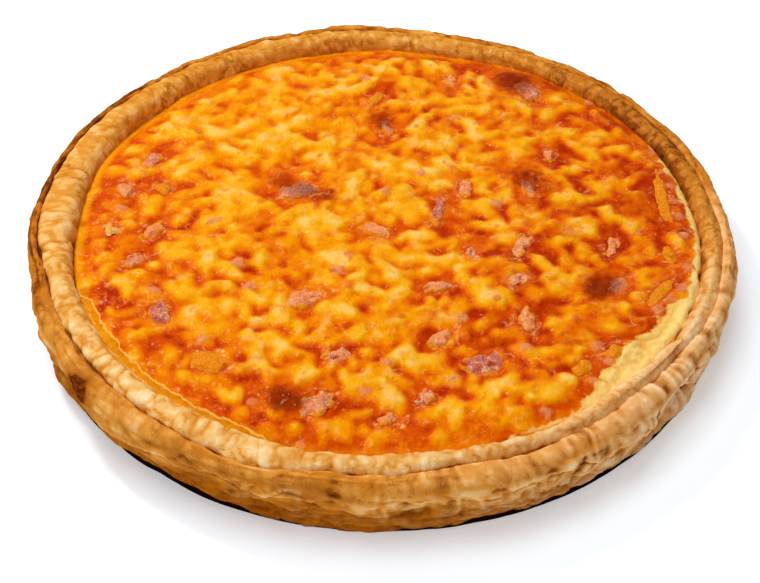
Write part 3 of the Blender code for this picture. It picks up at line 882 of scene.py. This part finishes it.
def custard_shoulder(angle, radius, skin_end, grain, flat):
    """Lift of the pale shoulder beyond the end of the top skin, at the front right."""
    wavy = grain.layers(flat, 0.0085, 2)
    lip_end = SHOULDER_END + inner_shift(angle) + round_table(angle, OVERHANG) * MM
    inside = 1 - ease(lip_end - 1.6 * MM, lip_end + 0.6 * MM, radius)
    crest = hump(radius, skin_end - 1.5 * MM, 6 * MM)
    body = EDGE_DROP * ease(-EDGE_WIDTH, 0, radius - FILLING_RADIUS - inner_shift(angle))
    beyond = ease(-1 * MM, 3 * MM, radius - skin_end)
    terrace = ease(-0.5 * MM, 0.5 * MM, radius - skin_end - 3.2 * MM - 1.6 * MM * wavy)
    over = ease(0.3, 2.0, round_table(angle, OVERHANG))
    over = over * ease(-3 * MM, 1 * MM, radius - 0.1200)
    settled = 1 - 0.5 * about(angle, SETTLED_SHOULDER)
    lift = 0.5 * MM * crest + (body + 0.3 * MM + 0.5 * MM * over) * inside * settled
    parting = hump(grain.layers(flat + 0.6, 0.0120, 2), 0, 0.09)
    lobes = 1.5 * (np.abs(grain.layers(flat, 0.0055, 2)) - 0.25) - 0.8 * parting
    return about(angle, PALE_SHOULDER) * (lift + MM * beyond * (lobes - 0.6 * terrace * (1 - over)))


def cheese_depth_and_shade(bare_height, cheese, paleness, red, noises):
    """How thickly cheese lies under the glaze, from 0 for none and dark to 1 for pale, with painted shade
    below the neighbouring surface and painted highlight above it.
    """
    broad, middle, small = noises
    cavity = (bare_height - soften(bare_height, 10)) / MM
    crevice = (bare_height - soften(bare_height, 3)) / MM
    lump = np.clip((cheese - 0.42) / 0.40, -1, 1)
    tinted = red * (1 - 0.75 * ease(-0.3, 0.7, lump))
    cheese_and_shade = MEAN_THICKNESS + 0.17 * lump + 0.48 * (soften(paleness, 2) - 0.5)
    cheese_and_shade += 0.10 * broad + 0.20 * middle + 0.13 * small - 0.30 * tinted
    # Cavity and crevice: paler above the neighbours and darker below them, painted highlight and painted
    # shade.
    return cheese_and_shade + 0.34 * np.clip(cavity, -0.6, 0.5) + 0.45 * np.clip(crevice, -0.25, 0.15)


def make_custard():
    share, angle = disc_grid(CUSTARD_GRID)
    plain = share * (FILLING_RADIUS - GAP)
    radius = plain + inner_shift(angle) * (plain / FILLING_RADIUS) ** 2
    radius = radius + overhang(angle) * ease(0.95, 1.0, share)
    x = radius * np.cos(angle)
    y = radius * np.sin(angle)
    flat = np.stack((x, y, 0 * x), axis=-1)
    grain = Grain(81)
    other = Grain(82)
    level = custard_level(x, y)

    # The melted cheese, less of it beside the ham and in the smooth regions
    patchy = other.layers(flat, 0.020, 3)
    sunk = np.clip(spot_field(x, y, SMOOTH_REGIONS) + 0.15 - 1.1 * patchy, -0.3, 1.6)
    outside_ham = ham_distance(x, y) / MM
    sunk = sunk + 0.8 * (1 - ease(-1.0, 2.5, outside_ham))
    sunk = sunk + 0.8 * grain.layers(flat + 0.9, 0.0085, 2)
    warp_x = SHRED_STRAY * grain.layers(flat + 0.3, 0.0110, 3)
    warp_y = SHRED_STRAY * grain.layers(flat - 0.4, 0.0110, 3)
    melted, paleness = melt_shreds(x + warp_x, y + warp_y, sunk)
    billow = np.abs(grain.layers(flat, 0.0050, 3))
    height = level + SHRED_LIFT * melted + BILLOW * billow + RIPPLE * grain.layers(flat, 0.0025, 2)

    # Where the brown skin ends: a pale shoulder at the right, an amber strip at the left
    skin_end = round_table(angle, SKIN_END) * MM + RAGGED_SKIN_END * other.layers(flat, 0.0095, 3)
    bare = ease(-1.3 * MM, 1.2 * MM, radius - skin_end)
    height += custard_shoulder(angle, radius, skin_end, grain, flat)
    strip = ease(0.25, 0.6, about(angle, AMBER_STRIP))
    edge = FILLING_RADIUS - GAP + inner_shift(angle)
    strip_end = edge - (1.9 + 1.5 * strip) * MM + 1.3 * MM * other.layers(flat, 0.008, 3)
    amber = strip * ease(-0.2 * MM, 0.5 * MM, radius - strip_end)
    rim_glaze = ease(-4.5 * MM, -1.0 * MM, radius - edge + 1.5 * MM * patchy)
    rim_glaze = 0.95 * hump(np.abs(np.degrees(angle)), 180, 80) * (1 - bare) * rim_glaze
    height += STRIP_EDGE * strip * hump(radius, strip_end, 0.6 * MM) - STRIP_DROP * amber

    # Frills of porous cheese round the ham, scraps of ham and browned spots
    fine = other.layers(flat, 0.0030, 3)
    scraps = spot_field(x, y, [(*row, 1.0) for row in SCRAPS])
    frill = 0.2 - np.abs(outside_ham - 0.6) / 3.0 + 1.3 * other.layers(flat, 0.0065, 3)
    frill = ease(-0.10, 0.45, frill)
    frill = np.maximum(frill, 0.7 * ease(0.15, 0.5, scraps + 0.5 * fine))
    scrap = ease(0.35, 0.80, scraps + 0.55 * fine)
    rough = np.abs(other.layers(flat, 0.0019, 2))
    height += MM * ((0.50 * frill + 0.4 * scrap) * rough + 0.35 * scrap)
    brown = spot_field(x, y, BROWN_SPOTS)
    height += SPOT_SWELL * np.clip(brown, 0, 1) * (1 + 0.4 * other.at(flat, 0.005))

    # How pale or red the glaze is
    bare_height = height - level
    red = spot_field(x, y, RED_REGIONS) - spot_field(x, y, BRIGHT_REGIONS)
    broad = grain.layers(flat + 0.2, 0.024, 3)
    middle = other.layers(flat + 0.5, 0.0095, 3)
    small = grain.layers(flat + 0.7, 0.0042, 2)
    cheese = soften(np.clip(melted / MM, 0.0, 1.3), 4)
    cheese_and_shade = cheese_depth_and_shade(bare_height, cheese, paleness, red, (broad, middle, small))
    cheese_and_shade += 0.16 * ease(-14 * MM, -3 * MM, radius - edge) * about(angle, GLAZED_BACK)
    cheese_and_shade = GLAZE_LEVEL + GLAZE_CONTRAST * (soften(cheese_and_shade, 2) - MEAN_THICKNESS)
    pool = 0.9 * red - 0.35 * broad - 0.65 * middle - 0.55 * cheese + 0.12
    browned = np.clip(0.9 * brown + 0.25 * fine + 0.2 * middle, 0, 1)
    height -= HAM_POCKET * ease(0.0, 1.2, -outside_ham)

    marks = {
        "cheese_and_shade": np.clip(cheese_and_shade, 0, 1),
        "pool": ease(0.15, 1.05, pool) * (1 - bare),
        "browned": browned * (1 - bare),
        "from_skin": np.clip((radius - skin_end) / MM, -6, 6),
        "amber": np.maximum(amber, rim_glaze),
        "from_line": (radius - strip_end) / MM - 8 * (1 - strip),
        # Paler above its neighbours and darker below them: painted highlight and painted shade on the
        # shoulder's folds.
        "fold_shading": np.clip(0.5 + (bare_height - soften(bare_height, 6)) / (0.55 * MM), 0, 1),
        "frill": frill * (1 - bare),
        "scrap": scrap,
        "ridge": np.clip(0.5 + 1.6 * (rough - 0.3), 0, 1),
    }
    return close_custard(np.stack((x, y, height), axis=-1), marks)


def close_custard(top_points, marks):
    """The custard's mesh: the top grid, its side and its underside on the pastry."""
    count = CUSTARD_GRID
    index = np.arange(count * count).reshape(count, count)
    quads = np.stack((index[:-1, :-1], index[1:, :-1], index[1:, 1:], index[:-1, 1:]), axis=-1)
    faces = quads.reshape(-1, 4).tolist()
    border = np.concatenate((index[:-1, 0], index[-1, :-1], index[:0:-1, -1], index[0, :0:-1]))
    rim = top_points.reshape(-1, 3)[border]
    floor = FLOOR_THICKNESS + GAP
    reach = np.hypot(rim[:, 0], rim[:, 1])
    within = FILLING_RADIUS - GAP + inner_shift(np.arctan2(rim[:, 1], rim[:, 0]))
    foot = rim * np.minimum(1, within / reach)[:, None]
    heel = foot * (1, 1, 0) + (0, 0, FLOOR_THICKNESS + 0.0040)
    toe = foot * (0.979, 0.979, 0) + (0, 0, floor)
    start = count * count
    around_count = len(border)
    rings = [border, start + np.arange(around_count), start + around_count + np.arange(around_count)]
    for upper, lower in itertools.pairwise(rings):
        beside = np.roll(np.arange(around_count), -1)
        faces += np.stack((upper, lower, lower[beside], upper[beside]), axis=1).tolist()
    centre = start + 2 * around_count
    last = rings[-1]
    faces += np.stack((np.full(around_count, centre), np.roll(last, -1), last), axis=1).tolist()
    vertices = np.concatenate((top_points.reshape(-1, 3), heel, toe, [[0, 0, floor]]))
    extra = len(vertices) - start
    padded = {name: np.concatenate((values.ravel(), np.zeros(extra))) for name, values in marks.items()}
    padded["from_skin"][start:] = 6.0
    padded["from_line"][start:] = 8.0
    return build_mesh("custard_baked", vertices, faces, padded)


# The ham and the onion

HAM_ROUND = 80
HAM_RINGS = 17
SLAB_POWER = 0.72  # squares the outline's corners, as the solid has them


def slab_outline(around_angle, half, seed):
    """The solid slab's outline at its widest, as the part has it, and its lean."""
    phases = np.random.default_rng(seed).uniform(0, math.tau, 3)
    uneven = 1.0
    for order, phase in zip((2, 3, 5), phases):
        uneven = uneven + 0.16 / order * np.cos(order * around_angle + phase)
    x = np.sign(np.cos(around_angle)) * np.abs(np.cos(around_angle)) ** SLAB_POWER * uneven * half[0]
    y = np.sign(np.sin(around_angle)) * np.abs(np.sin(around_angle)) ** SLAB_POWER * uneven * half[1]
    return x, y, phases


def make_flake(name, row, thickness, proud, seed, frill, mauve, corners=0.0):
    """A thin uneven slab with a crumbly top and edge, laid in the custard where its solid lies."""
    half = np.array((row[2] * MM / 2, row[3] * MM / 2, thickness / 2))
    turns = np.linspace(0, math.tau, HAM_ROUND, endpoint=False)
    edge_x, edge_y, phases = slab_outline(turns, half, seed)
    reach = 1 + corners * (1.4 * np.cos(3 * turns) - 0.1)
    edge_x = edge_x * reach
    edge_y = edge_y * reach
    grain = Grain(seed + 100)
    edge = np.stack((edge_x, edge_y, 0 * edge_x), axis=-1)
    top_shares = np.concatenate((np.linspace(0.06, 0.92, HAM_RINGS - 3), (0.95, 0.985, 1.0)))
    rings = []
    ridges = []
    under_shares = top_shares[-2::-3]
    sides = np.repeat((1, -1), (len(top_shares), len(under_shares)))
    for side, share in zip(sides, np.concatenate((top_shares, under_shares))):
        ragged = 1 + 0.42 * frill * share**2 * grain.layers(edge, 0.0036, 3)
        x = edge_x * share * ragged
        y = edge_y * share * ragged
        crown = (1 - share**2.6) ** 0.56
        lean = 0.20 * x / half[0] * math.sin(phases[0]) + 0.16 * y / half[1] * math.cos(phases[1])
        z = half[2] * (side * crown + lean)
        here = np.stack((x, y, 0 * x), axis=-1)
        rough = 0.55 * grain.layers(here, 0.0040, 2) + 0.45 * np.abs(grain.layers(here, 0.0017, 2))
        if side > 0:
            notch = ease(0.15, 0.55, grain.layers(here + 0.4, 0.0055, 2) + 0.25 * share)
            z = z + frill * MM * (0.75 * rough - 0.15 - 1.6 * notch)
        rings.append(np.stack((x, y, z), axis=-1))
        ridges.append(rough)
    points = np.concatenate(rings)
    noise = grain.layers(points, 0.0045, 3)
    shares = np.ones(len(points))
    shares[: HAM_RINGS * HAM_ROUND] = np.repeat(top_shares, HAM_ROUND)
    vertices = np.concatenate((points, [rings[0].mean(axis=0)], [[0, 0, -half[2]]]))
    marks = {
        "rim": np.concatenate((ease(0.55, 1.0, shares + 0.35 * noise), [0, 1])),
        "mauve": np.concatenate((np.clip(mauve + 0.7 * noise, 0, 1), [max(mauve, 0.0)] * 2)),
        "glazed": np.full(len(vertices), max(-mauve, 0.0)),
        "ridge": np.concatenate((np.clip(0.35 + 0.9 * np.concatenate(ridges), 0, 1), [0.3, 0.3])),
    }
    x = row[0] * MM
    y = row[1] * MM
    level = float(custard_level(np.array(x), np.array(y)))
    cosine = math.cos(math.radians(row[4]))
    sine = math.sin(math.radians(row[4]))
    spin = np.array(((cosine, -sine, 0), (sine, cosine, 0), (0, 0, 1)))
    vertices = vertices @ spin.T + (x, y, level + proud - thickness / 2)
    marks["char"] = np.clip(spot_field(vertices[:, 0], vertices[:, 1], BROWN_SPOTS) - 0.05, 0, 1)
    return build_mesh(name, vertices, closed_faces(len(rings), HAM_ROUND), marks)


def make_ham():
    """Every piece of ham with the name of the solid that it stands for."""
    pieces = []
    for index, row in enumerate(HAM, start=1):
        name = f"ham_{index:02d}"
        thickness = HAM_THICKNESS * (0.85 + 0.025 * row[3])
        frill = 1 + 0.6 * min(row[5], 0)
        flake = make_flake(f"{name}_baked", row, thickness, HAM_PROUD, HAM_SEED + index, frill, row[5])
        pieces.append((name, flake))
    return pieces


def make_onion():
    return make_flake("onion_flake_glazed", ONION, ONION_THICKNESS, ONION_PROUD, HAM_SEED, 0.35, 0.0, 0.25)


# Finishes


class Wire:
    """A socket of a finish's nodes that takes part in sums as a number does."""

    def __init__(self, finish, socket):
        self.finish = finish
        self.socket = socket

    def __add__(self, other):
        return self.finish.sum("ADD", self, other)

    __radd__ = __add__

    def __mul__(self, other):
        return self.finish.sum("MULTIPLY", self, other)

    __rmul__ = __mul__

    def __sub__(self, other):
        return self.finish.sum("SUBTRACT", self, other)

    def __rsub__(self, other):
        return self.finish.sum("SUBTRACT", other, self)


class Finish:
    """A procedural material that is put together node by node."""

    def __init__(self, name):
        self.material = bpy.data.materials.new(name)
        self.material.use_nodes = True
        self.tree = self.material.node_tree
        self.tree.nodes.clear()

    def add(self, kind, settings, values, output=0):
        """A node of a kind with its settings made first, then its sockets given values or links."""
        node = self.tree.nodes.new(kind)
        for name, value in settings.items():
            setattr(node, name, value)
        for name, value in values.items():
            if isinstance(value, Wire):
                self.tree.links.new(value.socket, node.inputs[name])
            else:
                node.inputs[name].default_value = value
        return Wire(self, node.outputs[output]) if node.outputs else None

    def sum(self, operation, first, second):
        return self.add("ShaderNodeMath", {"operation": operation}, {0: first, 1: second})

    def vector_sum(self, operation, first, second):
        return self.add("ShaderNodeVectorMath", {"operation": operation}, {0: first, 1: second})

    def mark(self, name):
        return self.add("ShaderNodeAttribute", {"attribute_name": name}, {}, "Fac")

    def place(self):
        return self.add("ShaderNodeTexCoord", {}, {}, "Object")

    def grain(self, size, detail=3.0, roughness=0.55, stretch=None):
        """Noise about 0 to 1 with lumps of the given size in metres."""
        where = self.place()
        if stretch is not None:
            where = self.vector_sum("MULTIPLY", where, stretch)
        values = {"Vector": where, "Scale": 1 / size, "Detail": detail, "Roughness": roughness}
        return self.add("ShaderNodeTexNoise", {}, values)

    def crackle(self, size, wander):
        """How far from the borders of uneven cells of the given size each place is, in cell widths."""
        values = {"Vector": self.place(), "Scale": 0.8 / size, "Detail": 3.0}
        drift = self.add("ShaderNodeTexNoise", {}, values, "Color")
        drift = self.vector_sum("SUBTRACT", drift, (0.5, 0.5, 0.5))
        drift = self.vector_sum("MULTIPLY", drift, (wander,) * 3)
        where = self.vector_sum("ADD", self.place(), drift)
        values = {"Vector": where, "Scale": 1 / size}
        return self.add("ShaderNodeTexVoronoi", {"feature": "DISTANCE_TO_EDGE"}, values, "Distance")

    def dots(self, size):
        """How far each place is from the nearest of scattered points, in steps of the given size."""
        values = {"Vector": self.place(), "Scale": 1 / size}
        return self.add("ShaderNodeTexVoronoi", {"feature": "F1"}, values, "Distance")

    def step(self, low, high, value):
        """0 below low and 1 above high."""
        values = {"Value": value, "From Min": low, "From Max": high}
        return self.add("ShaderNodeMapRange", {"clamp": True, "interpolation_type": "SMOOTHSTEP"}, values)

    def blend(self, share, first, second):
        """A colour between two colours, each a socket or (red, green, blue)."""
        first, second = (tone if isinstance(tone, Wire) else (*tone, 1) for tone in (first, second))
        return self.add("ShaderNodeMix", {"data_type": "RGBA"}, {0: share, 6: first, 7: second}, 2)

    def shades(self, value, stops):
        """A colour read from rows of (value, colour)."""
        colour = stops[0][1]
        for (low, _), (high, tone) in itertools.pairwise(stops):
            colour = self.blend(self.step(low, high, value), colour, tone)
        return colour

    def coats(self, colour, rows):
        """A colour with others laid over it one by one, in rows of (share, colour)."""
        for share, tone in rows:
            colour = self.blend(share, colour, tone)
        return colour

    def relief(self, height, depth, under=None):
        """A bump of the given depth in metres, over another one."""
        values = {"Height": height, "Distance": depth, "Strength": 1.0}
        if under is not None:
            values["Normal"] = under
        return self.add("ShaderNodeBump", {}, values)

    def surface(self, values):
        shader = self.add("ShaderNodeBsdfPrincipled", {}, values)
        self.add("ShaderNodeOutputMaterial", {}, {"Surface": shader})
        return self.material


def pastry_finish():
    finish = Finish("baked_puff_pastry")
    lip = finish.mark("lip")
    low = finish.mark("low")
    foot = finish.mark("foot")
    burnt = finish.mark("burnt")
    fine = finish.grain(0.0010, 4)
    mottle = finish.grain(0.0042, 4)
    flakes = finish.grain(0.0022, 3, stretch=(1, 1, 2.2))
    cracked = finish.step(0.40, 0.62, finish.grain(0.0080, 3))
    wide_crack = 1.0 - finish.step(0.01, 0.10, finish.crackle(0.0034, 0.0050))
    thin_crack = 1.0 - finish.step(0.01, 0.14, finish.crackle(0.0016, 0.0022))
    cracks = wide_crack * cracked + thin_crack * 0.3
    brown_and_shade = finish.mark("brown_and_shade") + (fine - 0.5) * 0.08 + (flakes - 0.5) * (0.09 + lip * 0.04)
    # The cracks are also darkened in colour: painted shade in them.
    brown_and_shade = brown_and_shade + (mottle - 0.5) * (0.30 - lip * 0.12) + cracks * 0.07 - 0.03
    browns = (
        (0.02, (0.98, 0.74, 0.400)), (0.24, (0.90, 0.50, 0.145)), (0.42, (0.77, 0.305, 0.032)),
        (0.60, (0.57, 0.180, 0.012)), (0.80, (0.28, 0.065, 0.004)), (1.00, (0.11, 0.020, 0.003)),
    )
    beiges = (
        (0.02, (0.98, 0.66, 0.380)), (0.24, (0.90, 0.50, 0.230)), (0.42, (0.80, 0.39, 0.140)),
        (0.60, (0.57, 0.240, 0.075)), (0.80, (0.26, 0.080, 0.018)), (1.00, (0.11, 0.024, 0.006)),
    )
    colour = finish.blend(finish.mark("beige"), finish.shades(brown_and_shade, browns), finish.shades(brown_and_shade, beiges))
    low_dark_tone = finish.blend(finish.step(0.40, 0.62, mottle), (0.25, 0.048, 0.001), (0.40, 0.105, 0.002))
    golden = finish.step(0.50, 0.66, finish.grain(0.0120, 3)) * (1.0 - lip * 0.6)
    creamy = finish.step(0.55, 0.70, finish.grain(0.0080, 3)) * finish.mark("side") * (1.0 - low)
    scorched = burnt + (finish.grain(0.0040, 4) - 0.5) * 0.8 * burnt
    char = finish.blend(finish.step(0.40, 0.65, flakes), (0.090, 0.010, 0.002), (0.240, 0.045, 0.007))
    coats = (
        # The low mark lays a darker tone low down on the side.
        (low * finish.step(0.25, 0.75, flakes * 0.5 + fine * 0.5) * 0.95, low_dark_tone),
        (low * 0.60, low_dark_tone),
        (golden * 0.45, (0.68, 0.205, 0.004)),
        (creamy * 0.32, (0.95, 0.58, 0.23)),
        (finish.step(0.05, 0.50, scorched) * 0.75, (0.46, 0.130, 0.010)),
        (finish.step(0.40, 0.80, scorched) * 0.95, char),
        # Near-black on the foot: painted shadow under the case.
        (foot, (0.012, 0.003, 0.001)),
    )
    bump = finish.relief(flakes * (0.45 + lip * 0.55), 0.00040)
    bump = finish.relief(1.0 - cracks, 0.00010, bump)
    return finish.surface(
        {
            "Base Color": finish.coats(colour, coats),
            "Roughness": 0.60 + (fine - 0.5) * 0.3,
            "Normal": finish.relief(fine, 0.00009, bump),
            "Specular IOR Level": 0.0,
            "Subsurface Weight": 0.12,
            "Subsurface Radius": (1.0, 0.45, 0.15),
            "Subsurface Scale": 0.0015,
            "Coat Weight": lip * 0.10 * (1.0 - foot),
            "Coat Roughness": 0.28,
        }
    )


def custard_finish():
    finish = Finish("browned_custard_and_cheese")
    from_skin = finish.mark("from_skin")
    fine = finish.grain(0.0009, 4)
    mottle = finish.grain(0.0030, 4)
    patches = finish.grain(0.0070, 3)
    cheese_and_shade = finish.mark("cheese_and_shade") + (mottle - 0.5) * 0.22 + (fine - 0.5) * 0.23
    glazes = (
        (0.00, (0.42, 0.018, 0.000)), (0.20, (0.66, 0.070, 0.000)), (0.40, (0.82, 0.184, 0.000)),
        (0.60, (0.89, 0.300, 0.000)), (0.80, (0.94, 0.425, 0.008)), (1.05, (1.00, 0.570, 0.125)),
    )
    # Peach patches on the thick cheese: painted sheen.
    peach_sheen = finish.step(0.56, 0.68, finish.grain(0.0060, 3)) * finish.step(0.45, 0.75, cheese_and_shade)
    porous = finish.mark("ridge") + (fine - 0.5) * 0.9
    frills = ((0.20, (0.72, 0.120, 0.012)), (0.50, (0.92, 0.32, 0.080)), (0.80, (1.00, 0.58, 0.260)))
    browned = finish.mark("browned") + (mottle - 0.5) * 0.6
    # Dark pits and pores: painted shade of small holes.
    pore = (1.0 - finish.step(0.10, 0.42, finish.dots(0.0022))) * finish.step(0.52, 0.62, patches)
    pit = 1.0 - finish.step(0.06, 0.15, finish.dots(0.0160) + (mottle - 0.5) * 0.12)
    glint_threads = 1.0 - finish.step(0.010, 0.050, finish.crackle(0.0095, 0.0150))
    # Curd tone with painted shade in the folds and painted highlight on their crests.
    curds_and_shade = finish.grain(0.0070, 2) * 0.5 + finish.mark("fold_shading") * 0.5 + (mottle - 0.5) * 0.3
    curds_and_shade = curds_and_shade + finish.step(-1.0, 4.0, from_skin) * 0.26 - 0.16
    curds = ((0.20, (0.93, 0.38, 0.040)), (0.36, (1.00, 0.57, 0.120)), (0.62, (1.00, 0.68, 0.210)))
    bare = finish.step(-0.6, 0.8, from_skin + (mottle - 0.5) * 3.0 + (patches - 0.5) * 7.0)
    from_line = finish.sum("ABSOLUTE", finish.mark("from_line") + (mottle - 0.5) * 1.6, 0.0)
    coats = (
        (peach_sheen * 0.45, (0.98, 0.51, 0.17)),
        (finish.mark("pool") * 0.75, (0.46, 0.030, 0.000)),
        (finish.mark("amber") * 0.80, (0.86, 0.370, 0.004)),
        (finish.mark("frill") * finish.step(0.30, 0.60, mottle) * 0.75, finish.shades(porous, frills)),
        (finish.mark("scrap") * 0.75, (0.74, 0.25, 0.115)),
        (finish.step(0.05, 0.40, browned) * 0.70, (0.80, 0.140, 0.000)),
        (finish.step(0.30, 0.75, browned) * 0.85, (0.48, 0.038, 0.000)),
        (finish.step(0.60, 1.10, browned) * 0.80, (0.17, 0.011, 0.001)),
        # Small pale specks: painted glints.
        (finish.step(0.66, 0.72, finish.grain(0.0015, 2)) * 0.3, (1.0, 0.60, 0.24)),
        (pit * 0.60, (0.56, 0.060, 0.000)),
        # Thin pale threads: painted glints.
        (glint_threads * finish.step(0.58, 0.68, finish.grain(0.0085, 2)) * 0.28, (1.0, 0.60, 0.22)),
        (pore * 0.35, (0.62, 0.090, 0.001)),
        (bare, finish.shades(curds_and_shade, curds)),
        ((1.0 - finish.step(0.12, 0.42, from_line)) * 0.85, (1.0, 0.56, 0.10)),
    )
    bump = finish.relief(finish.grain(0.0030, 1), 0.0007)
    bump = finish.relief(finish.grain(0.0014, 1), 0.00019, bump)
    return finish.surface(
        {
            "Base Color": finish.coats(finish.shades(cheese_and_shade, glazes), coats),
            "Roughness": 0.15 + bare * 0.2,
            "Normal": finish.relief(1.0 - pore, 0.00012, bump),
            "Specular IOR Level": 0.08,
            "Specular Tint": (1.0, 0.50, 0.06, 1),
            "Subsurface Weight": 0.15,
            "Subsurface Radius": (1.0, 0.35, 0.05),
            "Subsurface Scale": 0.0020,
        }
    )


def ham_finish():
    finish = Finish("moist_cooked_ham")
    fine = finish.grain(0.0008, 4)
    fibre = finish.grain(0.0022, 4)
    colour = finish.blend(finish.mark("mauve"), (0.97, 0.30, 0.085), (0.54, 0.115, 0.115))
    ridge = finish.mark("ridge") + (fine - 0.5) * 0.8
    thread_highlight = 1.0 - finish.step(0.02, 0.13, finish.crackle(0.0021, 0.0036))
    covered = finish.grain(0.0045, 4) + (finish.mark("rim") - 0.5) * 0.60 + finish.mark("glazed")
    glazing = finish.blend(fibre, (0.84, 0.18, 0.000), (0.98, 0.37, 0.002))
    charred = finish.step(0.30, 1.00, finish.mark("char") + (fibre - 0.5) * 0.9)
    coats = (
        # Dark in the low parts and pale on the ridges: painted shade and painted highlight.
        (1.0 - finish.step(0.05, 0.35, ridge), (0.46, 0.050, 0.014)),
        (finish.step(0.45, 0.90, ridge) * 0.45, (1.0, 0.54, 0.28)),
        # Pale thread lines: painted highlight.
        (thread_highlight * finish.step(0.42, 0.56, fibre) * 0.75, (1.0, 0.58, 0.34)),
        (finish.step(0.42, 0.64, covered) * 0.94, glazing),
        (charred * 0.80, (0.27, 0.034, 0.012)),
    )
    bump = finish.relief(thread_highlight, 0.0002, finish.relief(fibre, 0.0004))
    return finish.surface(
        {
            "Base Color": finish.coats(colour, coats),
            "Roughness": 0.25 + (fine - 0.5) * 0.2,
            "Normal": finish.relief(fine, 0.0003, bump),
            "Specular IOR Level": 0.07,
            "Specular Tint": (1.0, 0.60, 0.35, 1),
            "Subsurface Weight": 0.15,
            "Subsurface Radius": (1.0, 0.35, 0.25),
            "Subsurface Scale": 0.0012,
        }
    )


def onion_finish():
    finish = Finish("glazed_onion")
    fine = finish.grain(0.0010, 3)
    colour = finish.blend(fine, (0.74, 0.30, 0.030), (0.88, 0.42, 0.070))
    rim = finish.step(0.55, 0.95, finish.mark("rim")) * 0.85
    return finish.surface(
        {
            "Base Color": finish.blend(rim, colour, (1.0, 0.66, 0.30)),
            "Roughness": 0.25,
            "Normal": finish.relief(fine, 0.0001),
            "Specular IOR Level": 0.15,
            "Subsurface Weight": 0.3,
            "Subsurface Radius": (1.0, 0.5, 0.1),
            "Subsurface Scale": 0.002,
        }
    )


def floor_finish():
    finish = Finish("glowing_white_table")
    return finish.surface(
        {
            "Base Color": finish.blend(finish.grain(0.05, 2), (0.80, 0.87, 0.94), (0.81, 0.88, 0.95)),
            "Roughness": 0.9,
            "Specular IOR Level": 0.1,
            # The floor glows with emission: painted light that lifts the shadows on it.
            "Emission Color": (0.98, 0.99, 1.0, 1),
            "Emission Strength": 0.32,
        }
    )


# Table, light and camera

FLOOR_WIDTH = 12.0
ROOM_LIGHT = 0.26
# Soft lamps: name, place, size and power. Each one aims at the tart.
LAMPS = (
    ("window_above", (-0.16, 0.10, 1.10), (0.80, 0.60), 6.4),
    ("lamp_behind", (-0.50, 0.50, 0.80), (0.14, 0.14), 3.9),
    ("softbox_front", (-0.40, -0.90, 0.70), (0.5, 0.5), 2.2),
)


def lay_floor():
    half = FLOOR_WIDTH / 2
    corners = np.array(((-half, -half, 0), (half, -half, 0), (half, half, 0), (-half, half, 0)))
    floor = build_mesh("floor", corners, [(0, 1, 2, 3)])
    floor.data.materials.append(floor_finish())


def add_soft_lamp(name, place, size, power):
    data = bpy.data.lights.new(name, "AREA")
    data.shape = "RECTANGLE"
    data.size = size[0]
    data.size_y = size[1]
    data.energy = power
    lamp = bpy.data.objects.new(name, data)
    lamp.location = place
    lamp.rotation_euler = (-Vector(place)).to_track_quat("-Z", "Y").to_euler()
    bpy.context.scene.collection.objects.link(lamp)


def light_studio():
    world = bpy.data.worlds.new("soft_white_room")
    world.use_nodes = True
    background = world.node_tree.nodes["Background"]
    background.inputs["Color"].default_value = (1, 1, 1, 1)
    background.inputs["Strength"].default_value = ROOM_LIGHT
    bpy.context.scene.world = world
    for lamp in LAMPS:
        add_soft_lamp(*lamp)


def swing(first, second, degrees):
    """Two directions at right angles, turned together in their plane."""
    cosine = math.cos(math.radians(degrees))
    sine = math.sin(math.radians(degrees))
    return first * cosine + second * sine, second * cosine - first * sine


def set_camera():
    rise = math.radians(VIEW_RISE)
    place = Vector((0, -math.cos(rise), math.sin(rise))) * VIEW_DISTANCE
    ahead = -place.normalized()
    side = Vector((1, 0, 0))
    side, up = swing(side, side.cross(ahead), VIEW_ROLL)
    ahead, up = swing(ahead, up, -VIEW_DROP)
    data = bpy.data.cameras.new("photo_camera")
    data.lens = VIEW_LENS
    data.sensor_width = 36
    data.clip_start = 0.01
    camera = bpy.data.objects.new("photo_camera", data)
    turn = Matrix((side, up, -ahead)).transposed().to_4x4()
    camera.matrix_world = Matrix.Translation(place) @ turn
    bpy.context.scene.collection.objects.link(camera)
    bpy.context.scene.camera = camera


def dress(piece, material, slot, *nodes):
    """Gives a piece its finish, hangs it from the root and hides the solids that it stands for."""
    piece.data.materials.append(material)
    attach(piece, "root")
    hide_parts(*nodes)


def main():
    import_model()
    dress(make_crust(), pastry_finish(), "crust", "crust")
    dress(make_custard(), custard_finish(), "custard", "filling")
    ham = ham_finish()
    for name, piece in make_ham():
        dress(piece, ham, "ham", name)
    dress(make_onion(), onion_finish(), "onion", "onion_flake")
    lay_floor()
    light_studio()
    set_camera()
    bpy.context.scene.view_settings.view_transform = "Standard"


main()
